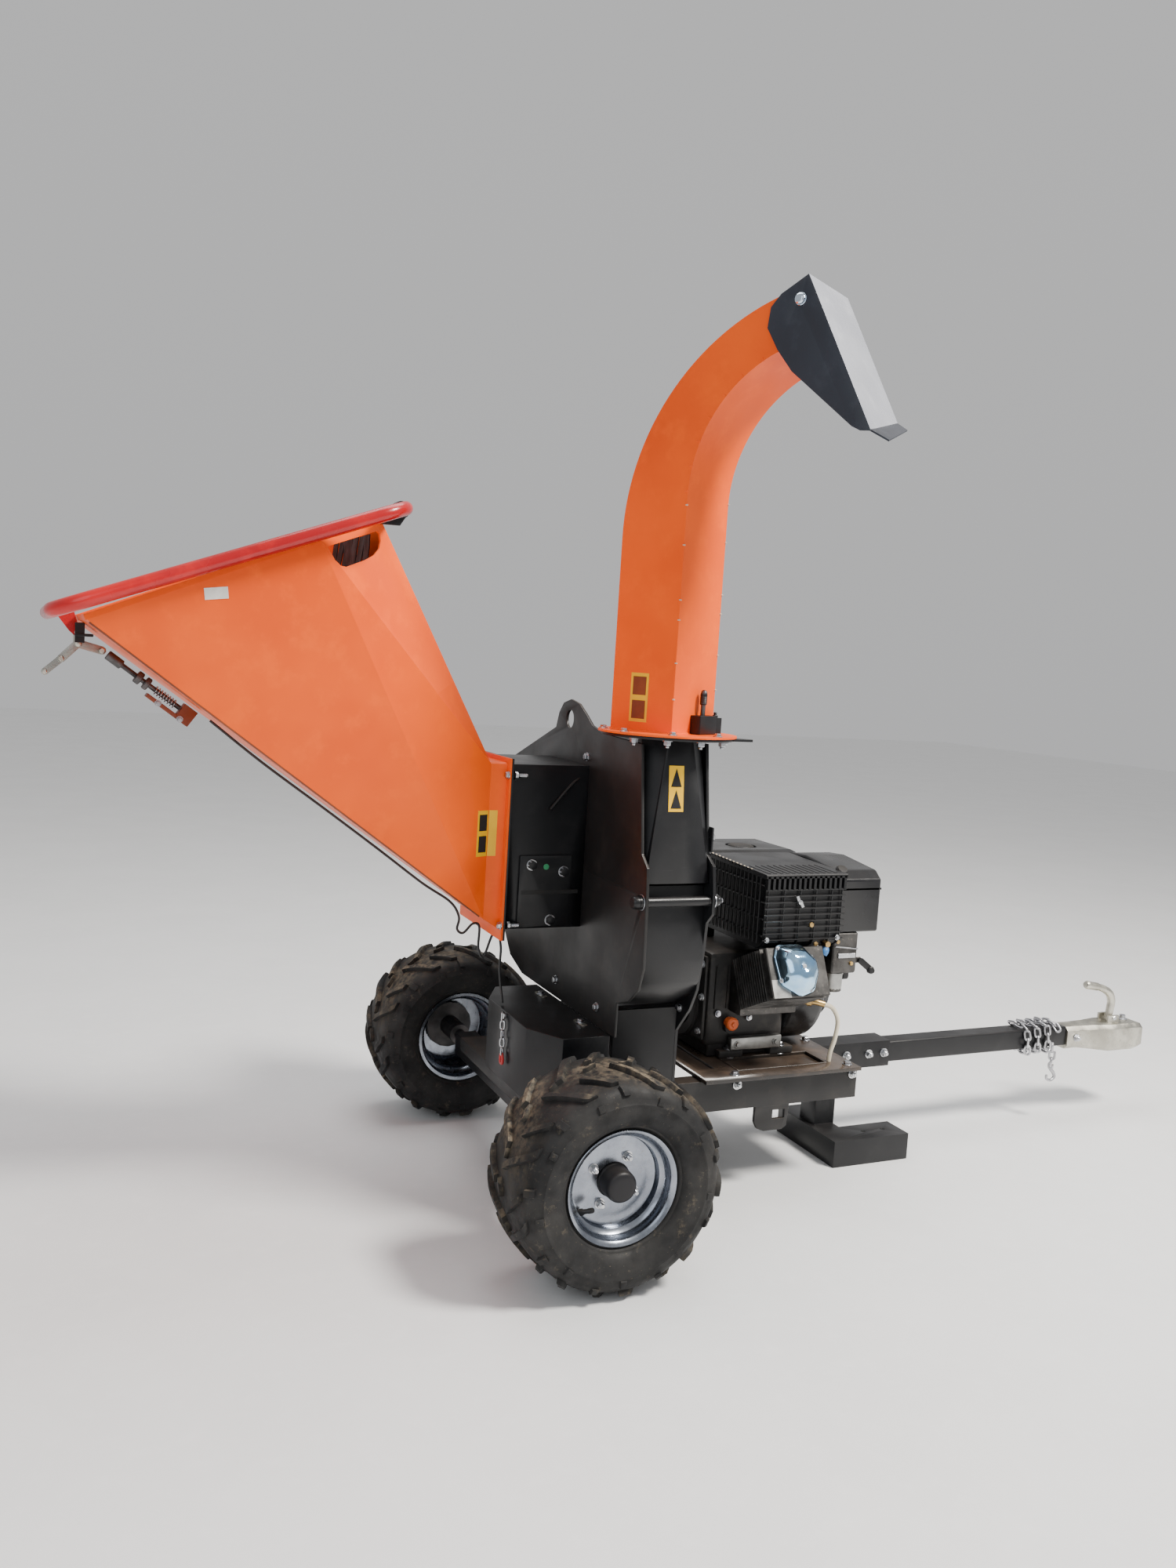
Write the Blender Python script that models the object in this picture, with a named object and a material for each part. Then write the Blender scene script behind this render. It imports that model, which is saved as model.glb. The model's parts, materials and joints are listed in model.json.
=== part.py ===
"""Towable disc wood chipper, built as separate named pieces.

Frame: +X towards the tow coupling, -Y towards the discharge side, +Z up.
All numbers below are metres measured from the point on the ground under the
axle centre; the whole machine hangs from one empty that moves that frame so
the origin is the centre of the footprint on the ground.
"""
import bpy
import bmesh
import math
from mathutils import Vector

for _o in list(bpy.data.objects):
    bpy.data.objects.remove(_o, do_unlink=True)

# ------------------------------------------------------------------ driving dimensions
X_SHIFT, Y_SHIFT = -0.4270, 0.0790          # axle frame to footprint-centre frame
GAP = 0.0003               # running/assembly gap between touching pieces

TYRE_R = 0.203             # 16 x 8-7 tyre
TRACK_HALF = 0.4455        # wheel centre to centreline
RIM_FLANGE_R = 0.106
STUB_R = 0.0125

BEAM = (-0.030, 0.020, 0.178, 0.228)      # axle beam X0 X1 Z0 Z1
BEAM_HALF_Y = 0.330
RAIL_Y = (0.160, 0.200)
RAIL_Z = (0.190, 0.257)
RAIL_X1 = 0.725
DECK_TOP = 0.2653

PLATE_F = (0.072, 0.078)   # housing plate on the hopper side, X
PLATE_R = (0.214, 0.220)   # housing plate on the engine side, X
ROTOR_Y, ROTOR_Z, ROTOR_R = 0.095, 0.660, 0.225
CRANK_Y, CRANK_Z = 0.020, 0.372
PULLEY_X = (0.268, 0.302)
DRIVEN_R, DRIVE_R = 0.085, 0.060

CHUTE_C = (0.148, -0.290)  # chute swivel axis
CHUTE_YAW = math.radians(-60.0)
CHUTE_HALF_W = 0.0735
CHUTE_BACK, CHUTE_FRONT = -0.081, 0.055
FLANGE_R = 0.1315
CHUTE_Z0 = 0.9840
ARC_OUT = (0.339, 1.345, 0.420, 102.2)    # centre s, centre z, radius, end angle
ARC_IN = (0.312, 1.415, 0.257, 106.3)
DEFLECTOR_PIVOT = (0.254, 1.735)          # s, z

MOUTH = [(-0.881, -0.280, 1.132), (-0.520, -0.280, 1.285), (-0.387, -0.160, 1.338)]
NECK = [(-0.137, -0.112, 0.5975), (-0.137, -0.112, 0.903), (-0.137, -0.104, 0.906)]
THROAT_X = -0.104
SHEET = 0.0025

BAR_R = 0.0125
BAR_X = (-0.9275, -0.3700)
BAR_Z = (1.1410, 1.3545)
BAR_HALF_Y = 0.305

STAND_PIVOT = (0.772, 0.0, 0.150)
DRAWBAR_Z = (0.195, 0.245)
COUPLER_X = (1.515, 1.794)

COS_E, SIN_E = math.cos(math.radians(25)), math.sin(math.radians(25))   # cylinder slant

# ------------------------------------------------------------------ helpers
ROOT = bpy.data.objects.new("chipper_origin", None)
bpy.context.collection.objects.link(ROOT)
ROOT.location = (X_SHIFT, Y_SHIFT, 0)


def material(name, rgb, rough, metal):
    m = bpy.data.materials.new(name)
    m.use_nodes = True
    b = m.node_tree.nodes["Principled BSDF"]
    b.inputs["Base Color"].default_value = (*rgb, 1)
    b.inputs["Roughness"].default_value = rough
    b.inputs["Metallic"].default_value = metal
    m.diffuse_color = (*rgb, 1)
    return m


ORANGE = (0.90, 0.155, 0.008)
BLACK = (0.022, 0.022, 0.025)
ZINC = (0.72, 0.72, 0.70)


def face_out(bm):
    bmesh.ops.recalc_face_normals(bm, faces=bm.faces)
    if bm.calc_volume(signed=True) < 0:
        bmesh.ops.reverse_faces(bm, faces=bm.faces)


def finish(name, bm, rgb, rough, metal=0.0, pivot=(0, 0, 0), smooth=None):
    bmesh.ops.translate(bm, verts=bm.verts, vec=-Vector(pivot))
    face_out(bm)
    me = bpy.data.meshes.new(name)
    bm.to_mesh(me)
    bm.free()
    ob = bpy.data.objects.new(name, me)
    bpy.context.collection.objects.link(ob)
    ob.parent = ROOT
    ob.location = pivot
    me.materials.append(material(name, rgb, rough, metal))
    if smooth:
        me.shade_smooth()
        me.set_sharp_from_angle(angle=math.radians(smooth))
    return ob


def loft(rings, closed=False):
    """Skin a list of equal-length point rings; ends are capped unless the rings close on themselves."""
    bm = bmesh.new()
    vs = [[bm.verts.new(p) for p in r] for r in rings]
    n = len(rings[0])
    last = len(vs) if closed else len(vs) - 1
    for i in range(last):
        a, b = vs[i], vs[(i + 1) % len(vs)]
        for k in range(n):
            bm.faces.new((a[k], a[(k + 1) % n], b[(k + 1) % n], b[k]))
    if not closed:
        bm.faces.new(list(reversed(vs[0])))
        bm.faces.new(vs[-1])
    face_out(bm)
    return bm


def box(x0, x1, y0, y1, z0, z1, bevel=0.0, seg=2):
    bm = loft([[(x0, y0, z), (x1, y0, z), (x1, y1, z), (x0, y1, z)] for z in (z0, z1)])
    if bevel:
        bmesh.ops.bevel(bm, geom=list(bm.edges), offset=bevel, segments=seg, profile=0.5, affect='EDGES')
        face_out(bm)
    return bm


def prism(pts, axis, a, b):
    """Polygon in the plane across `axis`, pushed from a to b: 'x' takes (y, z), 'y' takes (x, z), 'z' takes (x, y)."""
    def at(p, h):
        return {'x': (h, p[0], p[1]), 'y': (p[0], h, p[1]), 'z': (p[0], p[1], h)}[axis]
    return loft([[at(p, h) for p in pts] for h in (a, b)])


def lathe(profile, centre, axis='x', seg=24):
    """Turn a closed (r, h) profile about an axis through centre; points at r = 0 become poles."""
    bm = bmesh.new()
    ax = {'x': (Vector((0, 1, 0)), Vector((0, 0, 1)), Vector((1, 0, 0))),
          'y': (Vector((0, 0, 1)), Vector((1, 0, 0)), Vector((0, 1, 0))),
          'z': (Vector((1, 0, 0)), Vector((0, 1, 0)), Vector((0, 0, 1)))}[axis] if isinstance(axis, str) else axis
    u, v, w = ax
    c = Vector(centre)
    rows = []
    for r, h in profile:
        if r < 1e-9:
            rows.append([bm.verts.new(c + w * h)] * seg)
        else:
            rows.append([bm.verts.new(c + w * h + (u * math.cos(2 * math.pi * k / seg) + v * math.sin(2 * math.pi * k / seg)) * r)
                         for k in range(seg)])
    m = len(rows)
    for i in range(m):
        a, b = rows[i], rows[(i + 1) % m]
        if a[0] is a[1] and b[0] is b[1]:
            continue
        for k in range(seg):
            q = [a[k], a[(k + 1) % seg], b[(k + 1) % seg], b[k]]
            q = [x for j, x in enumerate(q) if x not in q[:j]]
            if len(q) > 2:
                bm.faces.new(q)
    face_out(bm)
    return bm


def rod(centre, axis, r, a, b, seg=16):
    return lathe([(0, a), (r, a), (r, b), (0, b)], centre, axis, seg)


def smooth_path(pts, count):
    """Catmull-Rom through the given points, returned as `count` evenly numbered samples."""
    p = [Vector(q) for q in pts]
    p = [p[0] * 2 - p[1]] + p + [p[-1] * 2 - p[-2]]
    out = []
    segs = len(p) - 3
    for i in range(count):
        t = segs * i / (count - 1)
        k = min(int(t), segs - 1)
        t -= k
        a, b, c, d = p[k:k + 4]
        out.append(0.5 * ((2 * b) + (c - a) * t + (2 * a - 5 * b + 4 * c - d) * t * t + (3 * b - a - 3 * c + d) * t ** 3))
    return out


def tube(pts, r, seg=8, closed=False):
    pts = [Vector(p) for p in pts]
    n = len(pts)
    rings = []
    prev = None
    for i, p in enumerate(pts):
        if closed:
            t = (pts[(i + 1) % n] - pts[i - 1]).normalized()
        else:
            t = (pts[min(i + 1, n - 1)] - pts[max(i - 1, 0)]).normalized()
        if prev is None:
            ref = Vector((0, 0, 1)) if abs(t.z) < 0.9 else Vector((1, 0, 0))
            nrm = (ref - t * ref.dot(t)).normalized()
        else:
            nrm = (prev - t * prev.dot(t)).normalized()
        prev = nrm
        bi = t.cross(nrm)
        rings.append([p + (nrm * math.cos(2 * math.pi * k / seg) + bi * math.sin(2 * math.pi * k / seg)) * r for k in range(seg)])
    return loft(rings, closed=closed)


def combine(bm, others, op='UNION'):
    """Boolean between bmeshes; returns a new bmesh and frees the inputs."""
    temp = []

    def as_object(b):
        me = bpy.data.meshes.new("tmp")
        face_out(b)
        b.to_mesh(me)
        b.free()
        ob = bpy.data.objects.new("tmp", me)
        bpy.context.collection.objects.link(ob)
        temp.append(ob)
        return ob
    base = as_object(bm)
    for o in others:
        cutter = as_object(o)
        cutter.hide_render = True
        cutter.display_type = 'WIRE'
        mod = base.modifiers.new("b", 'BOOLEAN')
        mod.operation = op
        mod.solver = 'EXACT'
        mod.object = cutter
    dg = bpy.context.evaluated_depsgraph_get()
    me = bpy.data.meshes.new_from_object(base.evaluated_get(dg))
    out = bmesh.new()
    out.from_mesh(me)
    bpy.data.meshes.remove(me)
    for o in temp:
        m = o.data
        bpy.data.objects.remove(o, do_unlink=True)
        bpy.data.meshes.remove(m)
    bmesh.ops.remove_doubles(out, verts=out.verts, dist=1e-6)
    bmesh.ops.dissolve_limit(out, angle_limit=math.radians(0.05), verts=out.verts, edges=out.edges)
    face_out(out)
    return out


def inset_poly(pts, d):
    """Offset a simple polygon inwards by d."""
    n = len(pts)
    area = sum(pts[i][0] * pts[(i + 1) % n][1] - pts[(i + 1) % n][0] * pts[i][1] for i in range(n))
    sgn = 1 if area > 0 else -1
    out = []
    for i in range(n):
        a, b, c = Vector(pts[i - 1]), Vector(pts[i]), Vector(pts[(i + 1) % n])
        e1, e2 = (b - a).normalized(), (c - b).normalized()
        n1, n2 = Vector((-e1.y, e1.x)) * sgn, Vector((-e2.y, e2.x)) * sgn
        m = (n1 + n2).normalized()
        out.append(tuple(b + m * (d / max(0.3, m.dot(n1)))))
    return out


# ------------------------------------------------------------------ chassis
bm = box(BEAM[1] + GAP, RAIL_X1, RAIL_Y[0], RAIL_Y[1], *RAIL_Z)
bm = combine(bm, [
    box(BEAM[1] + GAP, RAIL_X1, -RAIL_Y[1], -RAIL_Y[0], *RAIL_Z),
    box(-0.062, 0.060, -RAIL_Y[1], RAIL_Y[1], BEAM[3] + GAP, RAIL_Z[1]),
    box(0.030, 0.070, -RAIL_Y[0] - 0.01, RAIL_Y[0] + 0.01, RAIL_Z[0], RAIL_Z[1] - 0.004),
    box(0.675, RAIL_X1, -RAIL_Y[0] - 0.01, RAIL_Y[0] + 0.01, *RAIL_Z),
    # rounded lug under the near rail
    combine(prism([(0.470, 0.192), (0.470, 0.155), (0.478, 0.140), (0.495, 0.133), (0.540, 0.133), (0.552, 0.140), (0.556, 0.192)],
                  'y', -0.196, -0.188), [prism([(0.515, 0.158), (0.545, 0.158), (0.545, 0.178), (0.515, 0.178)], 'y', -0.21, -0.18)], 'DIFFERENCE'),
])
finish("chassis_frame", bm, BLACK, 0.42)

box_outline = [(-0.070, 0.012), (-0.070, -0.204), (-0.026, -0.285), (0.0715, -0.285), (0.0715, 0.095), (-0.026, 0.095)]
bm = prism(box_outline, 'z', RAIL_Z[1] + GAP, 0.400)
bm = combine(bm, [prism(inset_poly(box_outline, 0.003), 'z', RAIL_Z[1] - 0.01, 0.397)], 'DIFFERENCE')
finish("base_box", bm, BLACK, 0.42)

bm = box(BEAM[0], BEAM[1], -BEAM_HALF_Y, BEAM_HALF_Y, BEAM[2], BEAM[3])
bm = combine(bm, [rod((0, 0, TYRE_R), 'y', STUB_R, s * (BEAM_HALF_Y - 0.02), s * (TRACK_HALF + 0.056), 16) if s > 0 else
                  rod((0, 0, TYRE_R), 'y', STUB_R, -(TRACK_HALF + 0.056), -(BEAM_HALF_Y - 0.02), 16) for s in (1, -1)])
finish("axle_beam", bm, BLACK, 0.42, smooth=40)

bm = box(0.330, 0.720, -0.222, 0.222, RAIL_Z[1] + GAP, DECK_TOP)
bm = combine(bm, [box(0.435, 0.655, -0.175, -0.098, 0.20, 0.30), box(0.350, 0.390, -0.15, 0.15, 0.20, 0.30)], 'DIFFERENCE')
finish("engine_deck", bm, BLACK, 0.40)

sleeve = combine(box(RAIL_X1 + GAP, 0.945, -0.031, 0.031, 0.189, 0.251), [box(0.72, 0.96, -0.0257, 0.0257, 0.1943, 0.2457)], 'DIFFERENCE')
ears = [combine(prism([(0.752, 0.1885), (0.752, 0.150), (0.758, 0.136), (0.772, 0.130), (0.786, 0.136), (0.792, 0.150), (0.792, 0.1885)], 'y', a, b),
                [], 'UNION') for a, b in ((-0.0370, -0.0307), (0.0307, 0.0370))]
bridge = box(0.752, 0.792, -0.0370, 0.0370, 0.1865, 0.1895)
bm = combine(sleeve, [bridge] + ears)
bm = combine(bm, [rod((0.772, 0, 0.150), 'y', 0.0062, -0.044, 0.044, 16)])
finish("drawbar_sleeve", bm, BLACK, 0.42, smooth=30)

finish("drawbar", box(0.800, 1.5147, -0.025, 0.025, *DRAWBAR_Z, bevel=0.003, seg=1), BLACK, 0.40)

# stand: leg, cross arm and foot welded into one piece
leg = []
for k in range(9):
    a = math.pi * k / 8
    leg.append((STAND_PIVOT[0] + 0.0270 * math.cos(a), STAND_PIVOT[2] + 0.0270 * math.sin(a)))
leg = [(STAND_PIVOT[0] + 0.0270, 0.050)] + leg + [(STAND_PIVOT[0] - 0.0270, 0.050)]
bm = prism(leg, 'y', -0.030, 0.030)
bm = combine(bm, [box(0.728, 0.795, -0.138, 0.097, 0.0, 0.061), box(0.728, 0.935, -0.138, -0.058, 0.0, 0.061)])
bm = combine(bm, [rod((0.772, 0, 0.150), 'y', 0.0066, -0.05, 0.05, 16),
                  rod((0.835, -0.098, 0), 'z', 0.006, 0.030, 0.08, 12), rod((0.890, -0.098, 0), 'z', 0.006, 0.030, 0.08, 12)], 'DIFFERENCE')
finish("parking_stand", bm, BLACK, 0.42, pivot=STAND_PIVOT, smooth=40)

# ball coupling and its locking lever
body = []
for x, hw, z0, z1 in ((1.515, 0.030, 0.185, 0.243), (1.560, 0.030, 0.185, 0.243), (1.610, 0.034, 0.178, 0.243), (1.660, 0.043, 0.172, 0.243),
                      (1.740, 0.043, 0.172, 0.243), (1.775, 0.034, 0.174, 0.238), (1.794, 0.018, 0.180, 0.228)):
    c = 0.010
    body.append([(x, -hw + c, z0), (x, hw - c, z0), (x, hw, z0 + c), (x, hw, z1 - c), (x, hw - c, z1), (x, -hw + c, z1), (x, -hw, z1 - c), (x, -hw, z0 + c)])
bm = loft(body)
bm = combine(bm, [rod((1.700, 0, 0), 'z', 0.026, 0.160, 0.2255, 20), lathe([(0, 0.2200), (0.026, 0.2200), (0.018, 0.2340), (0, 0.2380)], (1.700, 0, 0), 'z', 20)], 'DIFFERENCE')
bm = combine(bm, [box(1.664, 1.702, -0.019, -0.013, 0.238, 0.262), box(1.664, 1.702, 0.013, 0.019, 0.238, 0.262)])
finish("coupler_body", bm, ZINC, 0.32, 0.9, smooth=35)
LEVER_PIVOT = (1.683, 0.0, 0.256)
pts = smooth_path([(1.683, 0, 0.2515), (1.686, 0, 0.272), (1.688, 0, 0.298), (1.676, 0, 0.320), (1.645, 0, 0.335), (1.602, 0, 0.344)], 12)
bm = tube(pts, 0.0110, 8)
finish("coupler_lever", bm, ZINC, 0.35, 0.9, pivot=LEVER_PIVOT, smooth=40)

# chain wrapped round the drawbar with its hook hanging, and the chain on the base box: outer solids
bm = combine(box(1.350, 1.495, -0.044, 0.044, 0.176, 0.264, bevel=0.010, seg=1), [box(1.33, 1.51, -0.0256, 0.0256, 0.1944, 0.2456)], 'DIFFERENCE')
bm = combine(bm, [box(1.440, 1.486, -0.040, -0.026, 0.106, 0.190)])
finish("safety_chain", bm, ZINC, 0.35, 0.9)
bm = box(-0.0835, -0.0705, -0.112, -0.086, 0.296, 0.392, bevel=0.003, seg=1)
finish("hanging_chain", bm, ZINC, 0.35, 0.9)

# ------------------------------------------------------------------ wheels
half = [(0.0990, 0.0545), (0.0990, 0.0712), (0.1068, 0.0733), (0.1210, 0.0905), (0.1550, 0.0985), (0.1850, 0.0925), (0.1985, 0.0740), (TYRE_R, 0.0500)]
inner = [(0.1900, 0.0450), (0.1760, 0.0820), (0.1550, 0.0885), (0.1280, 0.0820), (0.1040, 0.0545)]
tyre_profile = half + [(r, -h) for r, h in reversed(half)] + [(r, -h) for r, h in reversed(inner)] + inner
for side, tag in ((-1, "left"), (1, "right")):
    yc = side * TRACK_HALF
    piv = (0.0, yc, TYRE_R)
    bm = lathe(tyre_profile, piv, 'y', 24)
    finish("tyre_" + tag, bm, (0.025, 0.025, 0.025), 0.85, pivot=piv, smooth=35)
    rim = [(0.106, 0.078), (0.106, 0.0745), (0.0987, 0.0725), (0.0975, 0.054), (0.0860, 0.046), (0.0860, -0.046), (0.0975, -0.054), (0.0987, -0.0725),
           (0.106, -0.0745), (0.106, -0.078), (0.0957, -0.0757), (0.0945, -0.056), (0.0830, -0.048), (0.0830, 0.031), (0.0310, 0.031), (0.0310, 0.035),
           (0.0830, 0.035), (0.0830, 0.048), (0.0945, 0.056), (0.0957, 0.0757)]
    finish("rim_" + tag, lathe([(r, h * side) for r, h in rim], piv, 'y', 24), (0.62, 0.63, 0.64), 0.35, 0.85, pivot=piv, smooth=35)
    hub = [(0.0132, -0.060), (0.0240, -0.060), (0.0240, 0.0220), (0.0560, 0.0240), (0.0560, 0.0307), (0.0240, 0.0307), (0.0240, 0.0500), (0.0132, 0.0500)]
    finish("hub_" + tag, lathe([(r, h * side) for r, h in hub], piv, 'y', 16), (0.05, 0.05, 0.05), 0.5, 0.6, pivot=piv, smooth=35)
    cap = [(0.0, 0.0770), (0.0240, 0.0765), (0.0295, 0.0720), (0.0300, 0.0353), (0.0262, 0.0353), (0.0262, 0.0700), (0.0, 0.0730)]
    finish("hub_cap_" + tag, lathe([(r, h * side) for r, h in cap], piv, 'y', 20), (0.02, 0.02, 0.02), 0.45, pivot=piv, smooth=35)

# ------------------------------------------------------------------ cutting housing
front = [(-0.336, 0.967), (-0.365, 0.766), (-0.391, 0.744), (-0.396, 0.690), (-0.400, 0.560), (-0.385, 0.515), (-0.350, 0.485), (-0.300, 0.467),
         (-0.300, 0.4003), (0.190, 0.4003), (0.270, 0.425), (0.320, 0.480), (0.345, 0.560), (0.345, 0.873), (0.075, 0.968),
         (0.062, 1.000), (0.040, 1.022), (0.003, 1.031), (-0.040, 1.024), (-0.078, 1.004), (-0.110, 0.985), (-0.162, 0.973)]
bm = prism(front, 'x', *PLATE_F)
bm = combine(bm, [rod((0, 0.002, 0.990), 'x', 0.019, 0.05, 0.10, 20), box(0.05, 0.10, -0.100, 0.100, 0.700, 0.880),
                  rod((0, -0.379, 0.679), 'x', 0.0068, 0.05, 0.10, 12)], 'DIFFERENCE')
finish("housing_front_plate", bm, BLACK, 0.42, smooth=30)
rear = [(-0.325, 0.970), (-0.357, 0.763), (-0.384, 0.745), (-0.392, 0.693), (-0.392, 0.655), (-0.372, 0.635), (-0.366, 0.575), (-0.353, 0.500), (-0.330, 0.455), (-0.284, 0.401),
        (-0.284, RAIL_Z[1] + GAP), (0.284, RAIL_Z[1] + GAP), (0.284, 0.405), (0.345, 0.500), (0.345, 0.873), (0.075, 0.968), (-0.162, 0.973)]
bm = prism(rear, 'x', *PLATE_R)
bm = combine(bm, [rod((0, ROTOR_Y, ROTOR_Z), 'x', 0.0215, 0.20, 0.24, 20), rod((0, -0.379, 0.679), 'x', 0.0068, 0.20, 0.24, 12)], 'DIFFERENCE')
bm = combine(bm, [box(PLATE_F[1] + GAP, PLATE_R[0] + 0.003, -0.2835, -0.2775, RAIL_Z[1] + GAP, 0.4480)])
finish("housing_rear_plate", bm, BLACK, 0.42, smooth=30)

band = [(-0.355, 0.705), (-0.362, 0.640), (-0.372, 0.565), (-0.362, 0.520), (-0.335, 0.488), (-0.285, 0.458), (-0.200, 0.437), (-0.060, 0.426), (0.100, 0.424),
        (0.200, 0.434), (0.270, 0.470), (0.315, 0.525), (0.334, 0.600), (0.336, 0.700), (0.330, 0.780), (0.318, 0.8735), (0.250, 0.893), (0.070, 0.955), (-0.170, 0.955), (-0.176, 0.905)]
strip = []
for i, p in enumerate(band):
    a = Vector(band[max(i - 1, 0)])
    b = Vector(band[min(i + 1, len(band) - 1)])
    t = (b - a).normalized()
    strip.append(tuple(Vector(p) + Vector((-t.y, t.x)) * 0.004))
bm = prism(band + list(reversed(strip)), 'x', PLATE_F[1] + GAP, PLATE_R[0] - GAP)
finish("scroll_band", bm, BLACK, 0.42, smooth=30)
# discharge duct: flat-sided below, many-sided above so that it meets the round flange
top = [(0.126, -0.352), (0.166, -0.352), (0.172, -0.350), (0.2085, -0.314), (0.2085, -0.268), (0.168, -0.228), (0.126, -0.228), (0.0835, -0.268), (0.0835, -0.312), (0.120, -0.350)]
low = [(0.100, -0.376), (0.155, -0.376), (0.2125, -0.374), (0.2132, -0.364), (0.2132, -0.222), (0.165, -0.205), (0.110, -0.205), (0.0788, -0.222), (0.0788, -0.364), (0.0800, -0.374)]


def shrink(ring, d):
    return inset_poly(ring, d)


outer = loft([[(x, y, z) for x, y in r] for r, z in ((low, 0.712), (top, 0.9780))])
hole = loft([[(x, y, z) for x, y in shrink(r, 0.002)] for r, z in ((low, 0.7120), (top, 0.9780))])
bmesh.ops.scale(hole, vec=(1, 1, 1.01), verts=hole.verts)
bmesh.ops.translate(hole, vec=(0, 0, -0.0085), verts=hole.verts)
finish("discharge_duct", combine(outer, [hole], 'DIFFERENCE'), BLACK, 0.38, smooth=12)

ring = lathe([(0.070, 0.9786), (0.126, 0.9786), (0.126, CHUTE_Z0 - GAP), (0.070, CHUTE_Z0 - GAP)], (*CHUTE_C, 0), 'z', 40)
tabv = [(0.232, -0.300), (0.296, -0.356), (0.290, -0.368), (0.205, -0.372)]
bm = combine(ring, [prism(tabv, 'z', 0.9790, CHUTE_Z0 - GAP - 0.0002)])
finish("index_plate", bm, BLACK, 0.40, smooth=30)

bolt = [(0, 0.052), (0.0095, 0.052), (0.0115, 0.0565), (0.0115, 0.0650), (0.0125, 0.0650), (0.0125, 0.0717), (0.0064, 0.0717), (0.0064, 0.0783), (0.0095, 0.0783), (0.0095, 0.2137),
        (0.0064, 0.2137), (0.0064, 0.2203), (0.0125, 0.2203), (0.0125, 0.2260), (0.0105, 0.2260), (0.0105, 0.2340), (0.0060, 0.2380), (0.0, 0.2380)]
finish("tie_bolt", lathe(bolt, (0, -0.379, 0.679), 'x', 12), ZINC, 0.3, 0.9, smooth=30)

throat = combine(box(THROAT_X + 0.0043, PLATE_F[0] - GAP, -0.112, 0.112, 0.575, 0.903),
                 [box(THROAT_X + 0.0043, THROAT_X + 0.0083, -0.128, 0.128, 0.555, 0.915)])
throat = combine(throat, [box(-0.068, 0.042, -0.1180, -0.1115, 0.578, 0.722)] +
                 [rod((x, 0, z), 'y', 0.0095, -0.1270, -0.1150, 6) for x, z in ((-0.043, 0.704), (0.026, 0.690), (0.002, 0.592))])
throat = combine(throat, [box(-0.2, 0.2, -0.108, 0.108, 0.579, 0.899)], 'DIFFERENCE')
finish("infeed_throat", throat, BLACK, 0.42)
bm = box(PLATE_F[1] + GAP, 0.0900, -0.085, 0.085, 0.6600, 0.6950, bevel=0.001, seg=1)
finish("bed_knife", bm, (0.55, 0.55, 0.56), 0.3, 0.9)

# ------------------------------------------------------------------ rotor and belt drive
RC = (0, ROTOR_Y, ROTOR_Z)
shaft = [(0, 0.1003), (0.0190, 0.1003), (0.0200, 0.1150), (0.0200, 0.3080), (0.0180, 0.3100), (0, 0.3100)]
finish("main_shaft", lathe(shaft, RC, 'x', 20), (0.6, 0.6, 0.6), 0.3, 1.0, pivot=RC, smooth=40)
disc = lathe([(0.0203, 0.1000), (ROTOR_R, 0.1000), (ROTOR_R, 0.1150), (0.0500, 0.1150), (0.0450, 0.1450), (0.0203, 0.1450)], RC, 'x', 32)
pads = []
for k in range(4):
    a = math.radians(45 + 90 * k)
    c, s = math.cos(a), math.sin(a)
    p = [(0.115, -0.003), (0.215, -0.003), (0.215, 0.003), (0.115, 0.003)]
    pads.append(prism([(ROTOR_Y + r * c - t * s, ROTOR_Z + r * s + t * c) for r, t in p], 'x', 0.1140, 0.1950))
finish("cutter_disc", combine(disc, pads), (0.30, 0.30, 0.31), 0.45, 0.8, pivot=RC, smooth=30)
for k, tag in ((0, "a"), (1, "b")):
    a = math.radians(20 + 180 * k)
    c, s = math.cos(a), math.sin(a)
    p = [(0.070, -0.024), (0.215, -0.024), (0.215, 0.018), (0.070, 0.018)]
    q = [(0.070, -0.016), (0.215, -0.016), (0.215, 0.018), (0.070, 0.018)]
    bm = loft([[(h, ROTOR_Y + r * c - t * s, ROTOR_Z + r * s + t * c) for r, t in ps] for ps, h in ((p, 0.0940), (q, 0.0997))])
    finish("cutter_knife_" + tag, bm, (0.70, 0.70, 0.72), 0.22, 1.0, pivot=RC)
brg = [(0.0203, 0.2203), (0.0620, 0.2203), (0.0620, 0.2310), (0.0400, 0.2320), (0.0380, 0.2620), (0.0203, 0.2620)]
finish("bearing_housing", lathe(brg, RC, 'x', 24), (0.10, 0.10, 0.10), 0.5, 0.5, smooth=35)


def pulley(r, bore, centre):
    x0, x1 = PULLEY_X
    return lathe([(bore, x0), (r, x0), (r, x0 + 0.0055), (r - 0.012, x0 + 0.0070), (r - 0.012, x1 - 0.0070), (r, x1 - 0.0055), (r, x1), (bore, x1)], centre, 'x', 24)


CC = (0, CRANK_Y, CRANK_Z)
finish("driven_pulley", pulley(DRIVEN_R, 0.0203, RC), (0.35, 0.35, 0.36), 0.4, 0.9, pivot=RC, smooth=35)
finish("crank_pulley", combine(pulley(DRIVE_R, 0.0100, CC), [rod(CC, 'x', 0.0127, 0.2660, 0.3847, 16)]), (0.35, 0.35, 0.36), 0.4, 0.9, pivot=CC, smooth=35)


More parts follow.
